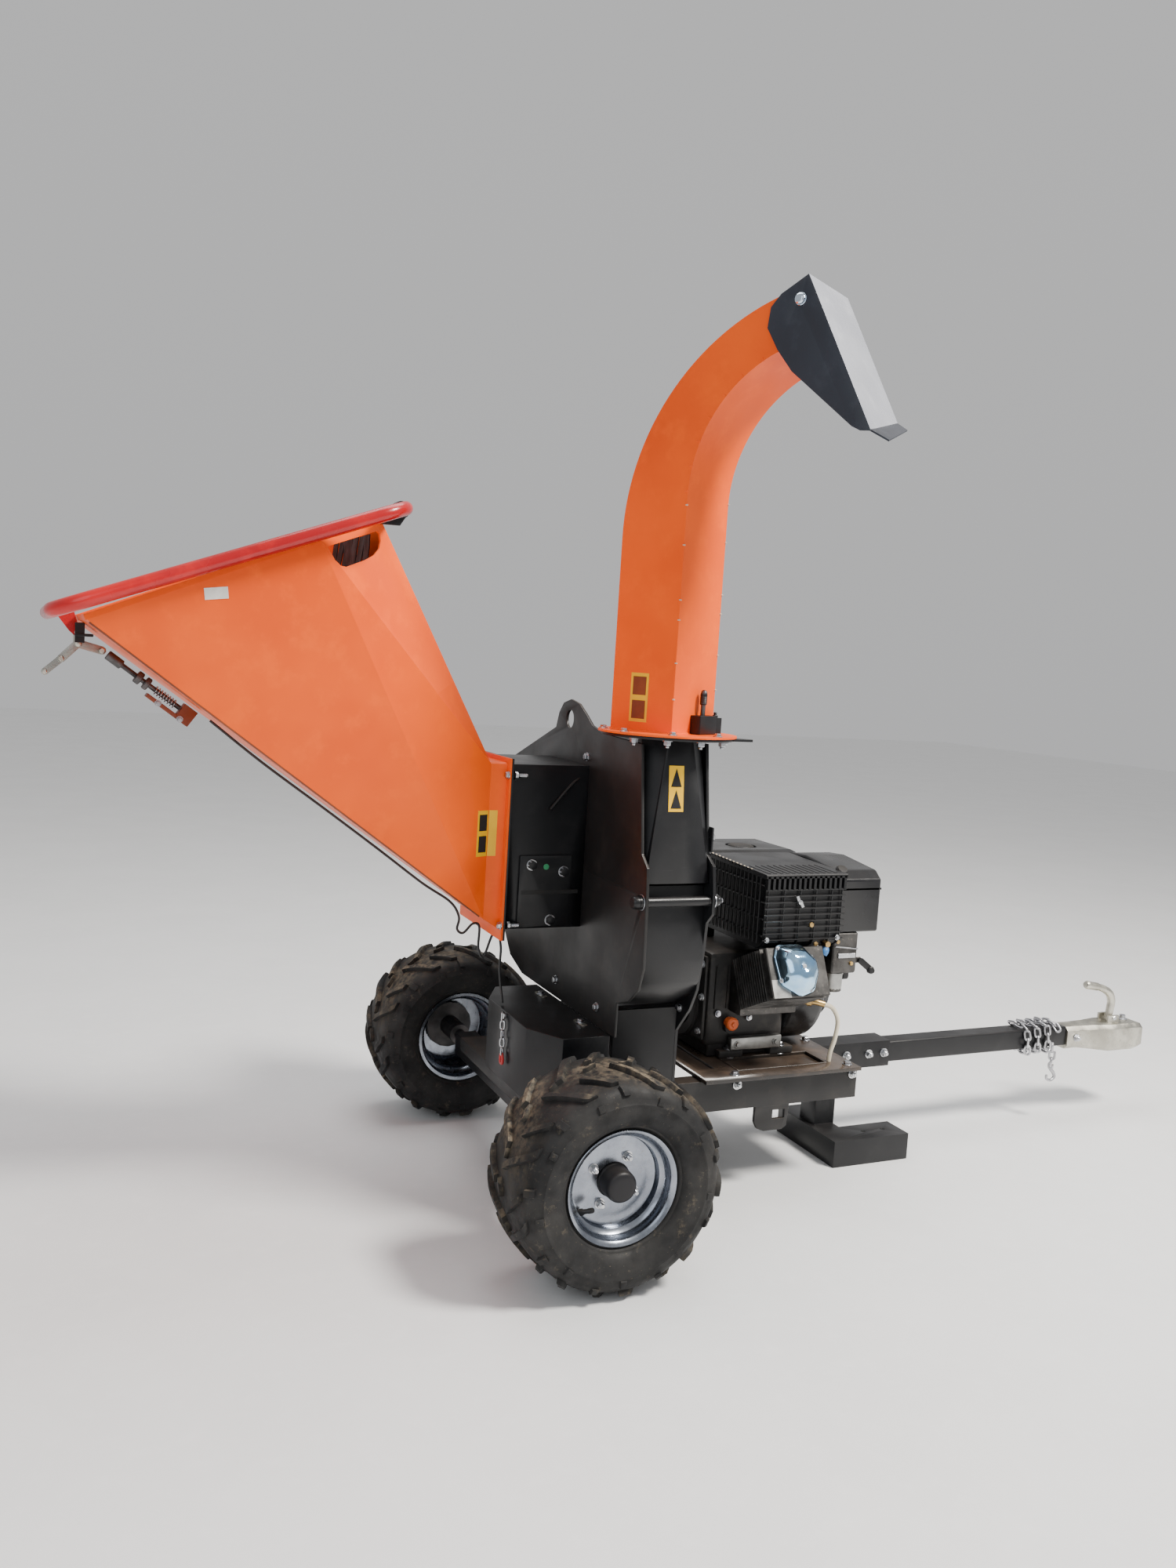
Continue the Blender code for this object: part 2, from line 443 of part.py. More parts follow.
def belt_loop(ra, rb):
    dy, dz = ROTOR_Y - CRANK_Y, ROTOR_Z - CRANK_Z
    d = math.hypot(dy, dz)
    base = math.atan2(dz, dy)
    off = math.acos((ra - rb) / d)
    pts = []
    for i in range(15):
        a = base - off + 2 * off * i / 14
        pts.append((ROTOR_Y + ra * math.cos(a), ROTOR_Z + ra * math.sin(a)))
    for i in range(13):
        a = base + off + (2 * math.pi - 2 * off) * i / 12
        pts.append((CRANK_Y + rb * math.cos(a), CRANK_Z + rb * math.sin(a)))
    return pts


po, pi_ = belt_loop(DRIVEN_R - 0.001, DRIVE_R - 0.001), belt_loop(DRIVEN_R - 0.0105, DRIVE_R - 0.0105)
xa, xb = PULLEY_X[0] + 0.0078, PULLEY_X[1] - 0.0078
bm = loft([[(xa, *p) for p in po], [(xb, *p) for p in po], [(xb, *p) for p in pi_], [(xa, *p) for p in pi_]], closed=True)
finish("drive_belt", bm, (0.02, 0.02, 0.02), 0.8, smooth=30)

gp = belt_loop(0.104, 0.079)[::2]
bm = prism(gp, 'x', 0.2640, 0.3350)
bm = combine(bm, [prism(inset_poly(gp, 0.003), 'x', 0.25, 0.3320), rod(CC, 'x', 0.020, 0.30, 0.36, 20)], 'DIFFERENCE')
bm = combine(bm, [box(0.300, 0.330, 0.080, 0.110, 0.7600, 0.785)])
finish("belt_guard", bm, BLACK, 0.45, smooth=30)

# ------------------------------------------------------------------ hopper
def mirror_ring(half_pts):
    return half_pts + [(x, -y, z) for x, y, z in reversed(half_pts)]


def ring_inset(ring, d):
    c = sum((Vector(p) for p in ring), Vector()) / len(ring)
    out = []
    for p in ring:
        v = Vector(p) - c
        out.append(tuple(c + Vector((v.x, 0, v.z)) * (1 - d / max(0.05, math.hypot(v.x, v.z))) + Vector((0, v.y - math.copysign(min(d, abs(v.y)), v.y), 0))))
    return out


mouth, neck = mirror_ring(MOUTH), mirror_ring(NECK)
flat = [(-0.1040, y, z) for _, y, z in mirror_ring([(0, -0.112, 0.575), (0, -0.112, 0.903), (0, -0.104, 0.906)])]
outer = loft([mouth, neck, flat])
im, inn, ifl = (ring_inset(r, 0.003) for r in (mouth, neck, flat))
far_in = [tuple(Vector(a) + (Vector(a) - Vector(b)) * 0.04) for a, b in zip(im, inn)]
far_out = [(p[0] + 0.02, p[1], p[2]) for p in ifl]
hole = loft([far_in, inn, ifl, far_out])
bm = combine(outer, [box(-0.1040, -0.1000, -0.128, 0.128, 0.555, 0.915)])
bm = combine(bm, [hole], 'DIFFERENCE')
# hand slot through the near chamfered panel, below the rim
m2, m3, n2 = Vector(MOUTH[1]), Vector(MOUTH[2]), Vector(NECK[1])
along = (m3 - m2).normalized()
nrm = along.cross(n2 - m2).normalized()
down = nrm.cross(along)
if down.z > 0:
    down = -down
slot = [m2 + along * u + down * v for u, v in ((0.0135, 0.0134), (0.1640, 0.0140), (0.1690, 0.0190), (0.1640, 0.0330), (0.1530, 0.0440), (0.1325, 0.0515),
                                                (0.1035, 0.0545), (0.0440, 0.0550), (0.0300, 0.0500), (0.0200, 0.0380))]
bm = combine(bm, [loft([[p - nrm * 0.02 for p in slot], [p + nrm * 0.02 for p in slot]])], 'DIFFERENCE')
finish("hopper", bm, ORANGE, 0.35, smooth=None)

bm = loft([[(-0.362, -0.120, z0), (-0.362, 0.120, z0), (-0.358, 0.120, z0), (-0.358, -0.120, z0)] for z0 in (0.800, 1.270)])
finish("feed_curtain", bm, (0.03, 0.02, 0.02), 0.8)

# stop bar: closed loop of tube round the mouth
def bar_point(u, y, lift=0.0):
    return (BAR_X[0] + (BAR_X[1] - BAR_X[0]) * u, y, BAR_Z[0] + (BAR_Z[1] - BAR_Z[0]) * u + lift)


L = math.hypot(BAR_X[1] - BAR_X[0], BAR_Z[1] - BAR_Z[0])
rc = 0.060
path = []
for cu, cy, a0 in ((rc / L, -BAR_HALF_Y + rc, 180), (rc / L, BAR_HALF_Y - rc, 90), (1 - rc / L, BAR_HALF_Y - rc, 0), (1 - rc / L, -BAR_HALF_Y + rc, -90)):
    for k in range(6):
        a = math.radians({180: 270 - 18 * k, 90: 180 - 18 * k, 0: 90 - 18 * k, -90: 0 - 18 * k}[a0])
        path.append(bar_point(cu + rc / L * math.cos(a), cy + rc * math.sin(a)))
    if a0 in (90, -90):
        yy = BAR_HALF_Y if a0 == 90 else -BAR_HALF_Y
        for u in (0.3, 0.5, 0.7) if a0 == 90 else (0.7, 0.5, 0.3):
            path.append(bar_point(u, yy))
BAR_PIVOT = (BAR_X[1], 0.0, BAR_Z[1])
bm = tube(path, BAR_R, 10, closed=True)
finish("safety_bar", bm, (0.62, 0.015, 0.02), 0.25, pivot=BAR_PIVOT, smooth=60)

# toggle links below the mouth, pull rod with its spring, and the switch on its bracket
def strap(p, q, r, t, y):
    p, q = Vector(p), Vector(q)
    e = (q - p).normalized()
    n = Vector((-e.y, e.x))
    pts = [p + (-e * math.cos(a) + n * math.sin(a)) * r for a in [math.radians(-90 + 45 * k) for k in range(5)]]
    pts += [q + (e * math.cos(a) - n * math.sin(a)) * r for a in [math.radians(-90 + 45 * k) for k in range(5)]]
    return prism([tuple(v) for v in pts], 'y', y, y + t)


links = strap((-0.881, 1.108), (-0.880, 1.088), 0.0075, 0.006, -0.003)
links = combine(links, [strap((-0.880, 1.088), (-0.907, 1.060), 0.0070, 0.006, 0.0005 - 0.004), strap((-0.907, 1.060), (-0.933, 1.036), 0.0060, 0.006, -0.002),
                        strap((-0.880, 1.088), (-0.840, 1.078), 0.0075, 0.006, -0.001)])
finish("toggle_link", links, ZINC, 0.35, 0.9, smooth=35)
e = (Vector((NECK[0][0], NECK[0][2])) - Vector((MOUTH[0][0], MOUTH[0][2]))).normalized()
A2 = Vector((-0.831, 1.0715))


def along_rod(d, off=0.0):
    return A2 + e * d + Vector((-e.y, e.x)) * off


def rod_axis():
    w = Vector((e.x, 0, e.y))
    u = Vector((0, 1, 0))
    return (u, w.cross(u), w)


pr = [(0, 0.0), (0.0090, 0.0), (0.0090, 0.030), (0.0050, 0.032), (0.0050, 0.060), (0.0120, 0.0605), (0.0120, 0.072), (0.0075, 0.0725), (0.0075, 0.078),
      (0.0120, 0.0785), (0.0120, 0.088), (0.0045, 0.0885), (0.0045, 0.1000), (0.0085, 0.1000), (0.0085, 0.1450), (0.0045, 0.1450), (0.0045, 0.1550), (0, 0.1550)]
a2 = A2 + Vector((-e.y, e.x)) * 0.0
finish("pull_rod", lathe(pr, (a2.x, 0, a2.y), rod_axis(), 12), (0.05, 0.05, 0.05), 0.4, 0.6, smooth=40)
br = [along_rod(0.094, -0.0200), along_rod(0.184, -0.0200), along_rod(0.184, 0.012), along_rod(0.156, 0.012), along_rod(0.156, -0.0125), along_rod(0.094, -0.0125)]
finish("switch_bracket", prism([tuple(v) for v in br], 'y', -0.016, 0.016), ORANGE, 0.4)
cable = smooth_path([(-0.655, -0.028, 0.962), (-0.560, -0.030, 0.888), (-0.440, -0.030, 0.802), (-0.330, -0.030, 0.722), (-0.240, -0.030, 0.655), (-0.180, -0.030, 0.616),
                     (-0.160, -0.032, 0.585), (-0.163, -0.034, 0.560), (-0.150, -0.035, 0.552), (-0.131, -0.035, 0.570), (-0.117, -0.036, 0.564), (-0.117, -0.038, 0.520),
                     (-0.106, -0.040, 0.502), (-0.090, -0.040, 0.545), (-0.078, -0.040, 0.553), (-0.070, -0.042, 0.520), (-0.070, -0.042, 0.470), (-0.060, -0.042, 0.4045)], 54)
finish("switch_cable", tube(cable, 0.0025, 6), (0.02, 0.02, 0.02), 0.6, smooth=60)

# ------------------------------------------------------------------ discharge chute
cd, sd = math.cos(CHUTE_YAW), math.sin(CHUTE_YAW)


def cw(s, t, z):
    """Chute frame: s forward along the throw, t to its left, z up."""
    return (CHUTE_C[0] + s * cd - t * sd, CHUTE_C[1] + s * sd + t * cd, z)


def chute_rings(wall, extend):
    so, si = CHUTE_BACK + wall, CHUTE_FRONT - wall
    w = CHUTE_HALF_W - wall
    st = [((so, CHUTE_Z0 - extend), (si, CHUTE_Z0 - extend))]
    n = 9
    for k in range(n + 1):
        f = k / n
        ao = math.radians(180 + (ARC_OUT[3] - 180) * f)
        ai = math.radians(180 + (ARC_IN[3] - 180) * f)
        st.append(((ARC_OUT[0] + (ARC_OUT[2] - wall) * math.cos(ao), ARC_OUT[1] + (ARC_OUT[2] - wall) * math.sin(ao)),
                   (ARC_IN[0] + (ARC_IN[2] + wall) * math.cos(ai), ARC_IN[1] + (ARC_IN[2] + wall) * math.sin(ai))))
    if extend:
        a, b = st[-1], st[-2]
        st.append(tuple((p[0] + (p[0] - q[0]) * 0.5, p[1] + (p[1] - q[1]) * 0.5) for p, q in zip(a, b)))
    return [[cw(o[0], -w, o[1]), cw(i[0], -w, i[1]), cw(i[0], w, i[1]), cw(o[0], w, o[1])] for o, i in st]


CPIV = (*CHUTE_C, CHUTE_Z0)
across = (Vector((0, 0, 1)), Vector((cd, sd, 0)), Vector((-sd, cd, 0)))
bolt_c = cw(DEFLECTOR_PIVOT[0], 0, DEFLECTOR_PIVOT[1])
flange = rod((*CHUTE_C, 0), 'z', FLANGE_R, CHUTE_Z0, CHUTE_Z0 + 0.0045, 48)
bm = combine(loft(chute_rings(0, 0)), [flange])
bm = combine(bm, [loft(chute_rings(0.0028, 0.02)), rod(bolt_c, across, 0.0056, -0.09, 0.09, 16)], 'DIFFERENCE')
finish("chute", bm, ORANGE, 0.35, pivot=CPIV, smooth=25)

side = [(0.265, 1.775), (0.216, 1.748), (0.198, 1.728), (0.194, 1.694), (0.216, 1.656), (0.246, 1.618), (0.363, 1.521), (0.378, 1.5135), (0.398, 1.512)]
tipv, apex = Vector((0.398, 1.512)), Vector((0.265, 1.775))
ed = (tipv - apex).normalized()
nin = Vector((ed.y, -ed.x))
if nin.x > 0:
    nin = -nin
W1, W0 = CHUTE_HALF_W + 0.0037, CHUTE_HALF_W + 0.0012
outer = loft([[cw(s, t, z) for s, z in side] for t in (-W1, W1)])
a = apex - ed * 0.05 + nin * 0.0025
b = tipv + ed * 0.05 + nin * 0.0025
cut = [tuple(a), tuple(b), (0.30, 1.40), (0.10, 1.55), (0.10, 1.85)]
bm = combine(outer, [loft([[cw(s, t, z) for s, z in cut] for t in (-W0, W0)])], 'DIFFERENCE')
RISE = 0.2565             # slope of the lower edge across the width


def low_z(t):
    return 1.512 + RISE * (t + W1)


bm = combine(bm, [loft([[cw(0.15, t, 1.45), cw(0.50, t, 1.45), cw(0.50, t, low_z(t)), cw(0.15, t, low_z(t))] for t in (-W1 + 0.0030, W1 + 0.01)])], 'DIFFERENCE')
lip = [[cw(s, t, z) for s, z in q] for t, q in (
    (-W1 + 0.0006, ((0.3930, 1.5165), (0.4310, 1.4955), (0.4298, 1.4930), (0.3915, 1.5140))),
    (W1 - 0.0006, ((0.3745, 1.5550), (0.3965, 1.5405), (0.3953, 1.5380), (0.3730, 1.5525))))]
bm = combine(bm, [loft(lip)])
bm = combine(bm, [rod(bolt_c, across, 0.0056, -0.09, 0.09, 16)], 'DIFFERENCE')
DPIV = bolt_c
finish("deflector", bm, BLACK, 0.45, pivot=DPIV, smooth=20)
bolt = [(0, -0.0860), (0.0060, -0.0860), (0.0095, -0.0835), (0.0095, -0.0776), (0.0052, -0.0776), (0.0052, 0.0776), (0.0105, 0.0776), (0.0105, 0.0860), (0, 0.0860)]
finish("deflector_bolt", lathe(bolt, bolt_c, across, 12), ZINC, 0.3, 0.9, pivot=CPIV, smooth=35)

s0, s1 = CHUTE_FRONT + 0.0006, 0.0780
z0 = CHUTE_Z0 + 0.0045 + GAP
ringb = [(s0, -0.0110), (s1, -0.0110), (s1, 0.0500), (s0, 0.0500)]
bm = loft([[cw(s, t, z) for s, t in ringb] for z in (z0, 1.0240)])
PIN_S, PIN_T = 0.0665, 0.0140
pin_c = cw(PIN_S, PIN_T, 0)
bm = combine(bm, [rod(pin_c, 'z', 0.0052, 0.90, 1.10, 12)], 'DIFFERENCE')
finish("lock_block", bm, BLACK, 0.45, pivot=CPIV)
pin = [(0, z0), (0.0045, z0), (0.0045, 1.0440), (0.0065, 1.0450), (0.0065, 1.0640), (0.0050, 1.0700), (0, 1.0720)]
finish("lock_plunger", lathe(pin, pin_c, 'z', 12), (0.1, 0.1, 0.1), 0.4, 0.7, pivot=(pin_c[0], pin_c[1], z0), smooth=40)

# ------------------------------------------------------------------ engine
bm = box(0.400, 0.600, -0.085, 0.140, 0.290, 0.500, bevel=0.012, seg=2)
bm = combine(bm, [box(0.410, 0.600, -0.080, 0.120, DECK_TOP + GAP, 0.300, bevel=0.003, seg=1), rod(CC, 'x', 0.055, 0.385, 0.41, 24),
                  rod((0.455, 0, 0.335), 'y', 0.014, -0.098, -0.080, 12)])
finish("engine_crankcase", bm, (0.09, 0.08, 0.07), 0.55, 0.3, smooth=35)

ky = -0.0856
def head_z(y, k):
    return k + (ky - y) * (SIN_E / COS_E)


bm = prism([(ky, 0.3605), (ky, 0.4817), (-0.2150, 0.5420), (-0.2614, 0.4426)], 'x', 0.450, 0.598)
finish("cylinder_head", bm, (0.10, 0.10, 0.10), 0.5, 0.4)
HX = 0.517
hexa = [(-0.040, 0.056), (0.018, 0.056), (0.050, 0.022), (0.052, -0.004), (0.034, -0.042), (0.000, -0.052), (-0.044, -0.024), (-0.050, 0.030)]


def on_head(d, du, dv):
    return (HX + du, CRANK_Y - COS_E * d + SIN_E * dv, CRANK_Z + SIN_E * d + COS_E * dv)


bm = loft([[on_head(d, u * k, v * k) for u, v in hexa] for d, k in ((0.2853, 1.0), (0.2900, 1.02), (0.3000, 0.93), (0.3150, 0.74), (0.3230, 0.55))])
finish("rocker_cover", bm, (0.60, 0.66, 0.72), 0.12, 1.0, smooth=50)

SC = (0, 0.020, 0.396)
shr = [(0, 0.6003), (0.1150, 0.6003), (0.1250, 0.6150), (0.1250, 0.6800), (0.1150, 0.6980), (0.0900, 0.7000), (0.0860, 0.7300), (0.0700, 0.7400), (0, 0.7400)]
finish("fan_shroud", lathe(shr, SC, 'x', 28), (0.03, 0.03, 0.03), 0.45, smooth=35)
bm = box(0.7245, 0.7450, -0.1180, -0.1000, 0.4330, 0.4870, bevel=0.004, seg=1)
finish("starter_grip", bm, (0.02, 0.02, 0.02), 0.6, pivot=(0.735, -0.1090, 0.460))

bm = box(0.452, 0.700, 0.0400, 0.2400, 0.5700, 0.7020, bevel=0.020, seg=2)
bm = combine(bm, [box(x, x + 0.02, 0.060, 0.100, 0.5003, 0.590) for x in (0.470, 0.570)])
bm = combine(bm, [rod((0.580, 0.120, 0), 'z', 0.0370, 0.6860, 0.72, 24)], 'DIFFERENCE')
finish("fuel_tank", bm, (0.02, 0.02, 0.022), 0.35, smooth=35)
finish("fuel_cap", lathe([(0, 0.6863), (0.0310, 0.6863), (0.0330, 0.6890), (0.0330, 0.7000), (0.0290, 0.7040), (0, 0.7050)], (0.580, 0.120, 0), 'z', 20), (0.02, 0.02, 0.02), 0.5, pivot=(0.580, 0.120, 0.686), smooth=35)

mf = [(-0.205, 0.692), (0.035, 0.700), (0.035, 0.5275), (-0.176, 0.5275), (-0.195, 0.5360), (-0.205, 0.5420)]
finish("muffler_guard", prism(mf, 'x', 0.450, 0.655), (0.02, 0.02, 0.02), 0.5)
ac = [(-0.172, 0.555), (-0.172, 0.672), (-0.150, 0.690), (-0.030, 0.704), (0.030, 0.700), (0.034, 0.690), (0.034, 0.555)]
bm = prism(ac, 'x', 0.6600, 0.7700)
finish("air_cleaner", bm, (0.022, 0.022, 0.024), 0.4)
bm = combine(box(0.6560, 0.722, -0.170, -0.110, 0.462, 0.5547, bevel=0.004, seg=1), [rod((0.682, -0.140, 0), 'z', 0.021, 0.418, 0.47, 16)])
finish("carburettor", bm, (0.25, 0.25, 0.25), 0.45, 0.7, smooth=35)
bm = combine(strap((0.7420, 0.486), (0.7740, 0.462), 0.0070, 0.004, -0.160), [rod((0.742, 0, 0.486), 'y', 0.004, -0.158, -0.150, 12)])
finish("choke_lever", bm, (0.02, 0.02, 0.02), 0.5, pivot=(0.742, -0.158, 0.486))
hose = smooth_path([(0.640, -0.176, 0.398), (0.662, -0.178, 0.388), (0.678, -0.178, 0.360), (0.676, -0.176, 0.320), (0.670, -0.172, 0.290), (0.668, -0.170, 0.2662)], 14)
finish("drain_hose", tube(hose, 0.0050, 8), (0.75, 0.68, 0.55), 0.5, smooth=60)

bpy.context.view_layer.update()
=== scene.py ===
import bpy, bmesh, json, math, random
from mathutils import Vector, Matrix

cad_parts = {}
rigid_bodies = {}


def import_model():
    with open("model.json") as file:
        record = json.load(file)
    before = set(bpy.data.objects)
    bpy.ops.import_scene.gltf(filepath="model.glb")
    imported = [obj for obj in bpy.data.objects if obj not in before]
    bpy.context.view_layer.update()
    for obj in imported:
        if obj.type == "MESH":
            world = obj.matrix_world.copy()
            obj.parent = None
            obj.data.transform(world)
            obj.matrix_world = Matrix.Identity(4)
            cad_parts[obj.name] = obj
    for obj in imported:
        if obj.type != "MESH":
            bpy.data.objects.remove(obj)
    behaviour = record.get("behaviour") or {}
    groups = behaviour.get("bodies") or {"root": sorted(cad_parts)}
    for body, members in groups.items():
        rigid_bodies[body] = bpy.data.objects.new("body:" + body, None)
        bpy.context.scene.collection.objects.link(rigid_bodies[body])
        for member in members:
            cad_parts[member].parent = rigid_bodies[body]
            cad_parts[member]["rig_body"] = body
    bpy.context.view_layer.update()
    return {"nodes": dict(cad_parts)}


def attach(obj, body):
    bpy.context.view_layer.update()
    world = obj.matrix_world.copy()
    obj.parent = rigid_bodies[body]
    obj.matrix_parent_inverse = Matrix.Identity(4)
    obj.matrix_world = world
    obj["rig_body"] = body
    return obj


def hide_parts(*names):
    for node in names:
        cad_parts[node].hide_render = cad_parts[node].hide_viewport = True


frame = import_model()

SX, SY = -0.4270, 0.0790        # axle frame (under the axle centre) to the model's own frame
NODES = frame["nodes"]
random.seed(7)


def A(p):
    return Vector((p[0] + SX, p[1] + SY, p[2]))


# ------------------------------------------------------------------ camera
cam_data = bpy.data.cameras.new("camera")
cam = bpy.data.objects.new("camera", cam_data)
bpy.context.scene.collection.objects.link(cam)
az, el, roll = math.radians(-24.392), math.radians(5.68), math.radians(3.534)
back = Vector((math.sin(az) * math.cos(el), -math.cos(az) * math.cos(el), math.sin(el)))
fwd = -back
right = fwd.cross(Vector((0, 0, 1))).normalized()
up = right.cross(fwd)
right2 = right * math.cos(roll) + up * math.sin(roll)
up2 = up * math.cos(roll) - right * math.sin(roll)
loc = A((-0.965, -2.396, 1.116))
cam.matrix_world = Matrix(((right2.x, up2.x, back.x, loc.x), (right2.y, up2.y, back.y, loc.y), (right2.z, up2.z, back.z, loc.z), (0, 0, 0, 1)))
cam_data.sensor_fit = 'AUTO'
cam_data.sensor_width = 36
cam_data.lens = 28.8
cam_data.clip_start = 0.05
bpy.context.scene.camera = cam


# ------------------------------------------------------------------ materials
def nodes_of(name):
    m = bpy.data.materials.new(name)
    m.use_nodes = True
    nt = m.node_tree
    b = nt.nodes["Principled BSDF"]
    return m, nt, b


def noise(nt, scale, detail=4, rough=0.55, vec=None):
    n = nt.nodes.new("ShaderNodeTexNoise")
    n.inputs["Scale"].default_value = scale
    n.inputs["Detail"].default_value = detail
    n.inputs["Roughness"].default_value = rough
    if vec is None:
        tc = nt.nodes.new("ShaderNodeTexCoord")
        vec = tc.outputs["Object"]
    nt.links.new(vec, n.inputs["Vector"])
    return n.outputs["Fac"]


def ramp(nt, fac, lo, hi, a=0.0, b=1.0):
    n = nt.nodes.new("ShaderNodeMapRange")
    n.interpolation_type = 'SMOOTHSTEP'
    n.inputs["From Min"].default_value = lo
    n.inputs["From Max"].default_value = hi
    n.inputs["To Min"].default_value = a
    n.inputs["To Max"].default_value = b
    nt.links.new(fac, n.inputs["Value"])
    return n.outputs["Result"]


def mixc(nt, fac, a, b):
    n = nt.nodes.new("ShaderNodeMix")
    n.data_type = 'RGBA'
    if isinstance(fac, float):
        n.inputs[0].default_value = fac
    else:
        nt.links.new(fac, n.inputs[0])
    for k, v in ((6, a), (7, b)):
        if isinstance(v, tuple):
            n.inputs[k].default_value = (*v, 1)
        else:
            nt.links.new(v, n.inputs[k])
    return n.outputs[2]


def mul(nt, a, b, op='MULTIPLY'):
    n = nt.nodes.new("ShaderNodeMath")
    n.operation = op
    for k, v in ((0, a), (1, b)):
        if isinstance(v, (int, float)):
            n.inputs[k].default_value = v
        else:
            nt.links.new(v, n.inputs[k])
    return n.outputs[0]


def bump(nt, b, height, strength, dist):
    n = nt.nodes.new("ShaderNodeBump")
    n.inputs["Strength"].default_value = strength
    n.inputs["Distance"].default_value = dist
    nt.links.new(height, n.inputs["Height"])
    nt.links.new(n.outputs["Normal"], b.inputs["Normal"])


def upward(nt, lo=0.3, hi=0.95):
    g = nt.nodes.new("ShaderNodeNewGeometry")
    s = nt.nodes.new("ShaderNodeSeparateXYZ")
    nt.links.new(g.outputs["Normal"], s.inputs[0])
    return ramp(nt, s.outputs["Z"], lo, hi)


def paint(name, base, dark, light, rough=(0.28, 0.42), coat=0.0, dust=0.0, peel=0.12, peel_scale=650, metal=0.0, dust_rgb=(0.42, 0.33, 0.22), spec=0.5, scratch=0.0):
    """Powder coat: cloudy colour, orange-peel bump, uneven gloss, dust on what faces up and in specks."""
    m, nt, b = nodes_of(name)
    big = noise(nt, 3.0, 3)
    mid = noise(nt, 22.0, 5, 0.6)
    col = mixc(nt, ramp(nt, big, 0.35, 0.65), dark, base)
    col = mixc(nt, ramp(nt, mid, 0.48, 0.74, 0.0, 0.55), col, light)
    if scratch:
        tc = nt.nodes.new("ShaderNodeTexCoord")
        mp = nt.nodes.new("ShaderNodeMapping")
        mp.inputs["Scale"].default_value = (9, 60, 200)
        mp.inputs["Rotation"].default_value = (0.5, 0.3, 0.2)
        nt.links.new(tc.outputs["Object"], mp.inputs["Vector"])
        sc = noise(nt, 2.0, 2, 0.5, mp.outputs["Vector"])
        col = mixc(nt, ramp(nt, sc, 0.72, 0.80, 0.0, scratch), col, (0.45, 0.44, 0.42))
    if dust:
        sp = noise(nt, 120.0, 5, 0.7)
        spots = ramp(nt, sp, 0.62, 0.72, 0.0, 0.5)
        film = mul(nt, upward(nt), ramp(nt, noise(nt, 14.0, 6, 0.65), 0.30, 0.70, 0.25, 1.0))
        tot = mul(nt, film, dust)
        col = mixc(nt, tot, col, dust_rgb)
        col = mixc(nt, mul(nt, spots, dust * 0.35), col, dust_rgb)
    nt.links.new(col, b.inputs["Base Color"])
    nt.links.new(ramp(nt, noise(nt, 9.0, 4), 0.3, 0.7, rough[0], rough[1]), b.inputs["Roughness"])
    b.inputs["Metallic"].default_value = metal
    b.inputs["Specular IOR Level"].default_value = spec
    b.inputs["Coat Weight"].default_value = coat
    b.inputs["Coat Roughness"].default_value = 0.12
    bump(nt, b, noise(nt, peel_scale, 2, 0.5), peel, 0.0006)
    return m


def metal(name, base, tint, rough=(0.22, 0.40), bump_s=0.15, scale=220, stretch=None, spots=None):
    """Plated or bare metal: cloudy tint, uneven gloss and fine grain."""
    m, nt, b = nodes_of(name)
    tc = nt.nodes.new("ShaderNodeTexCoord")
    vec = tc.outputs["Object"]
    if stretch:
        mp = nt.nodes.new("ShaderNodeMapping")
        mp.inputs["Scale"].default_value = stretch
        nt.links.new(vec, mp.inputs["Vector"])
        vec = mp.outputs["Vector"]
    col = mixc(nt, ramp(nt, noise(nt, 18.0, 4, 0.6), 0.35, 0.68), tint, base)
    if spots:
        col = mixc(nt, ramp(nt, noise(nt, 160.0, 3, 0.6), 0.62, 0.72, 0.0, 0.7), col, spots)
    nt.links.new(col, b.inputs["Base Color"])
    nt.links.new(ramp(nt, noise(nt, 45.0, 4), 0.3, 0.7, rough[0], rough[1]), b.inputs["Roughness"])
    b.inputs["Metallic"].default_value = 1.0
    bump(nt, b, noise(nt, scale, 3, 0.55, vec), bump_s, 0.0005)
    return m


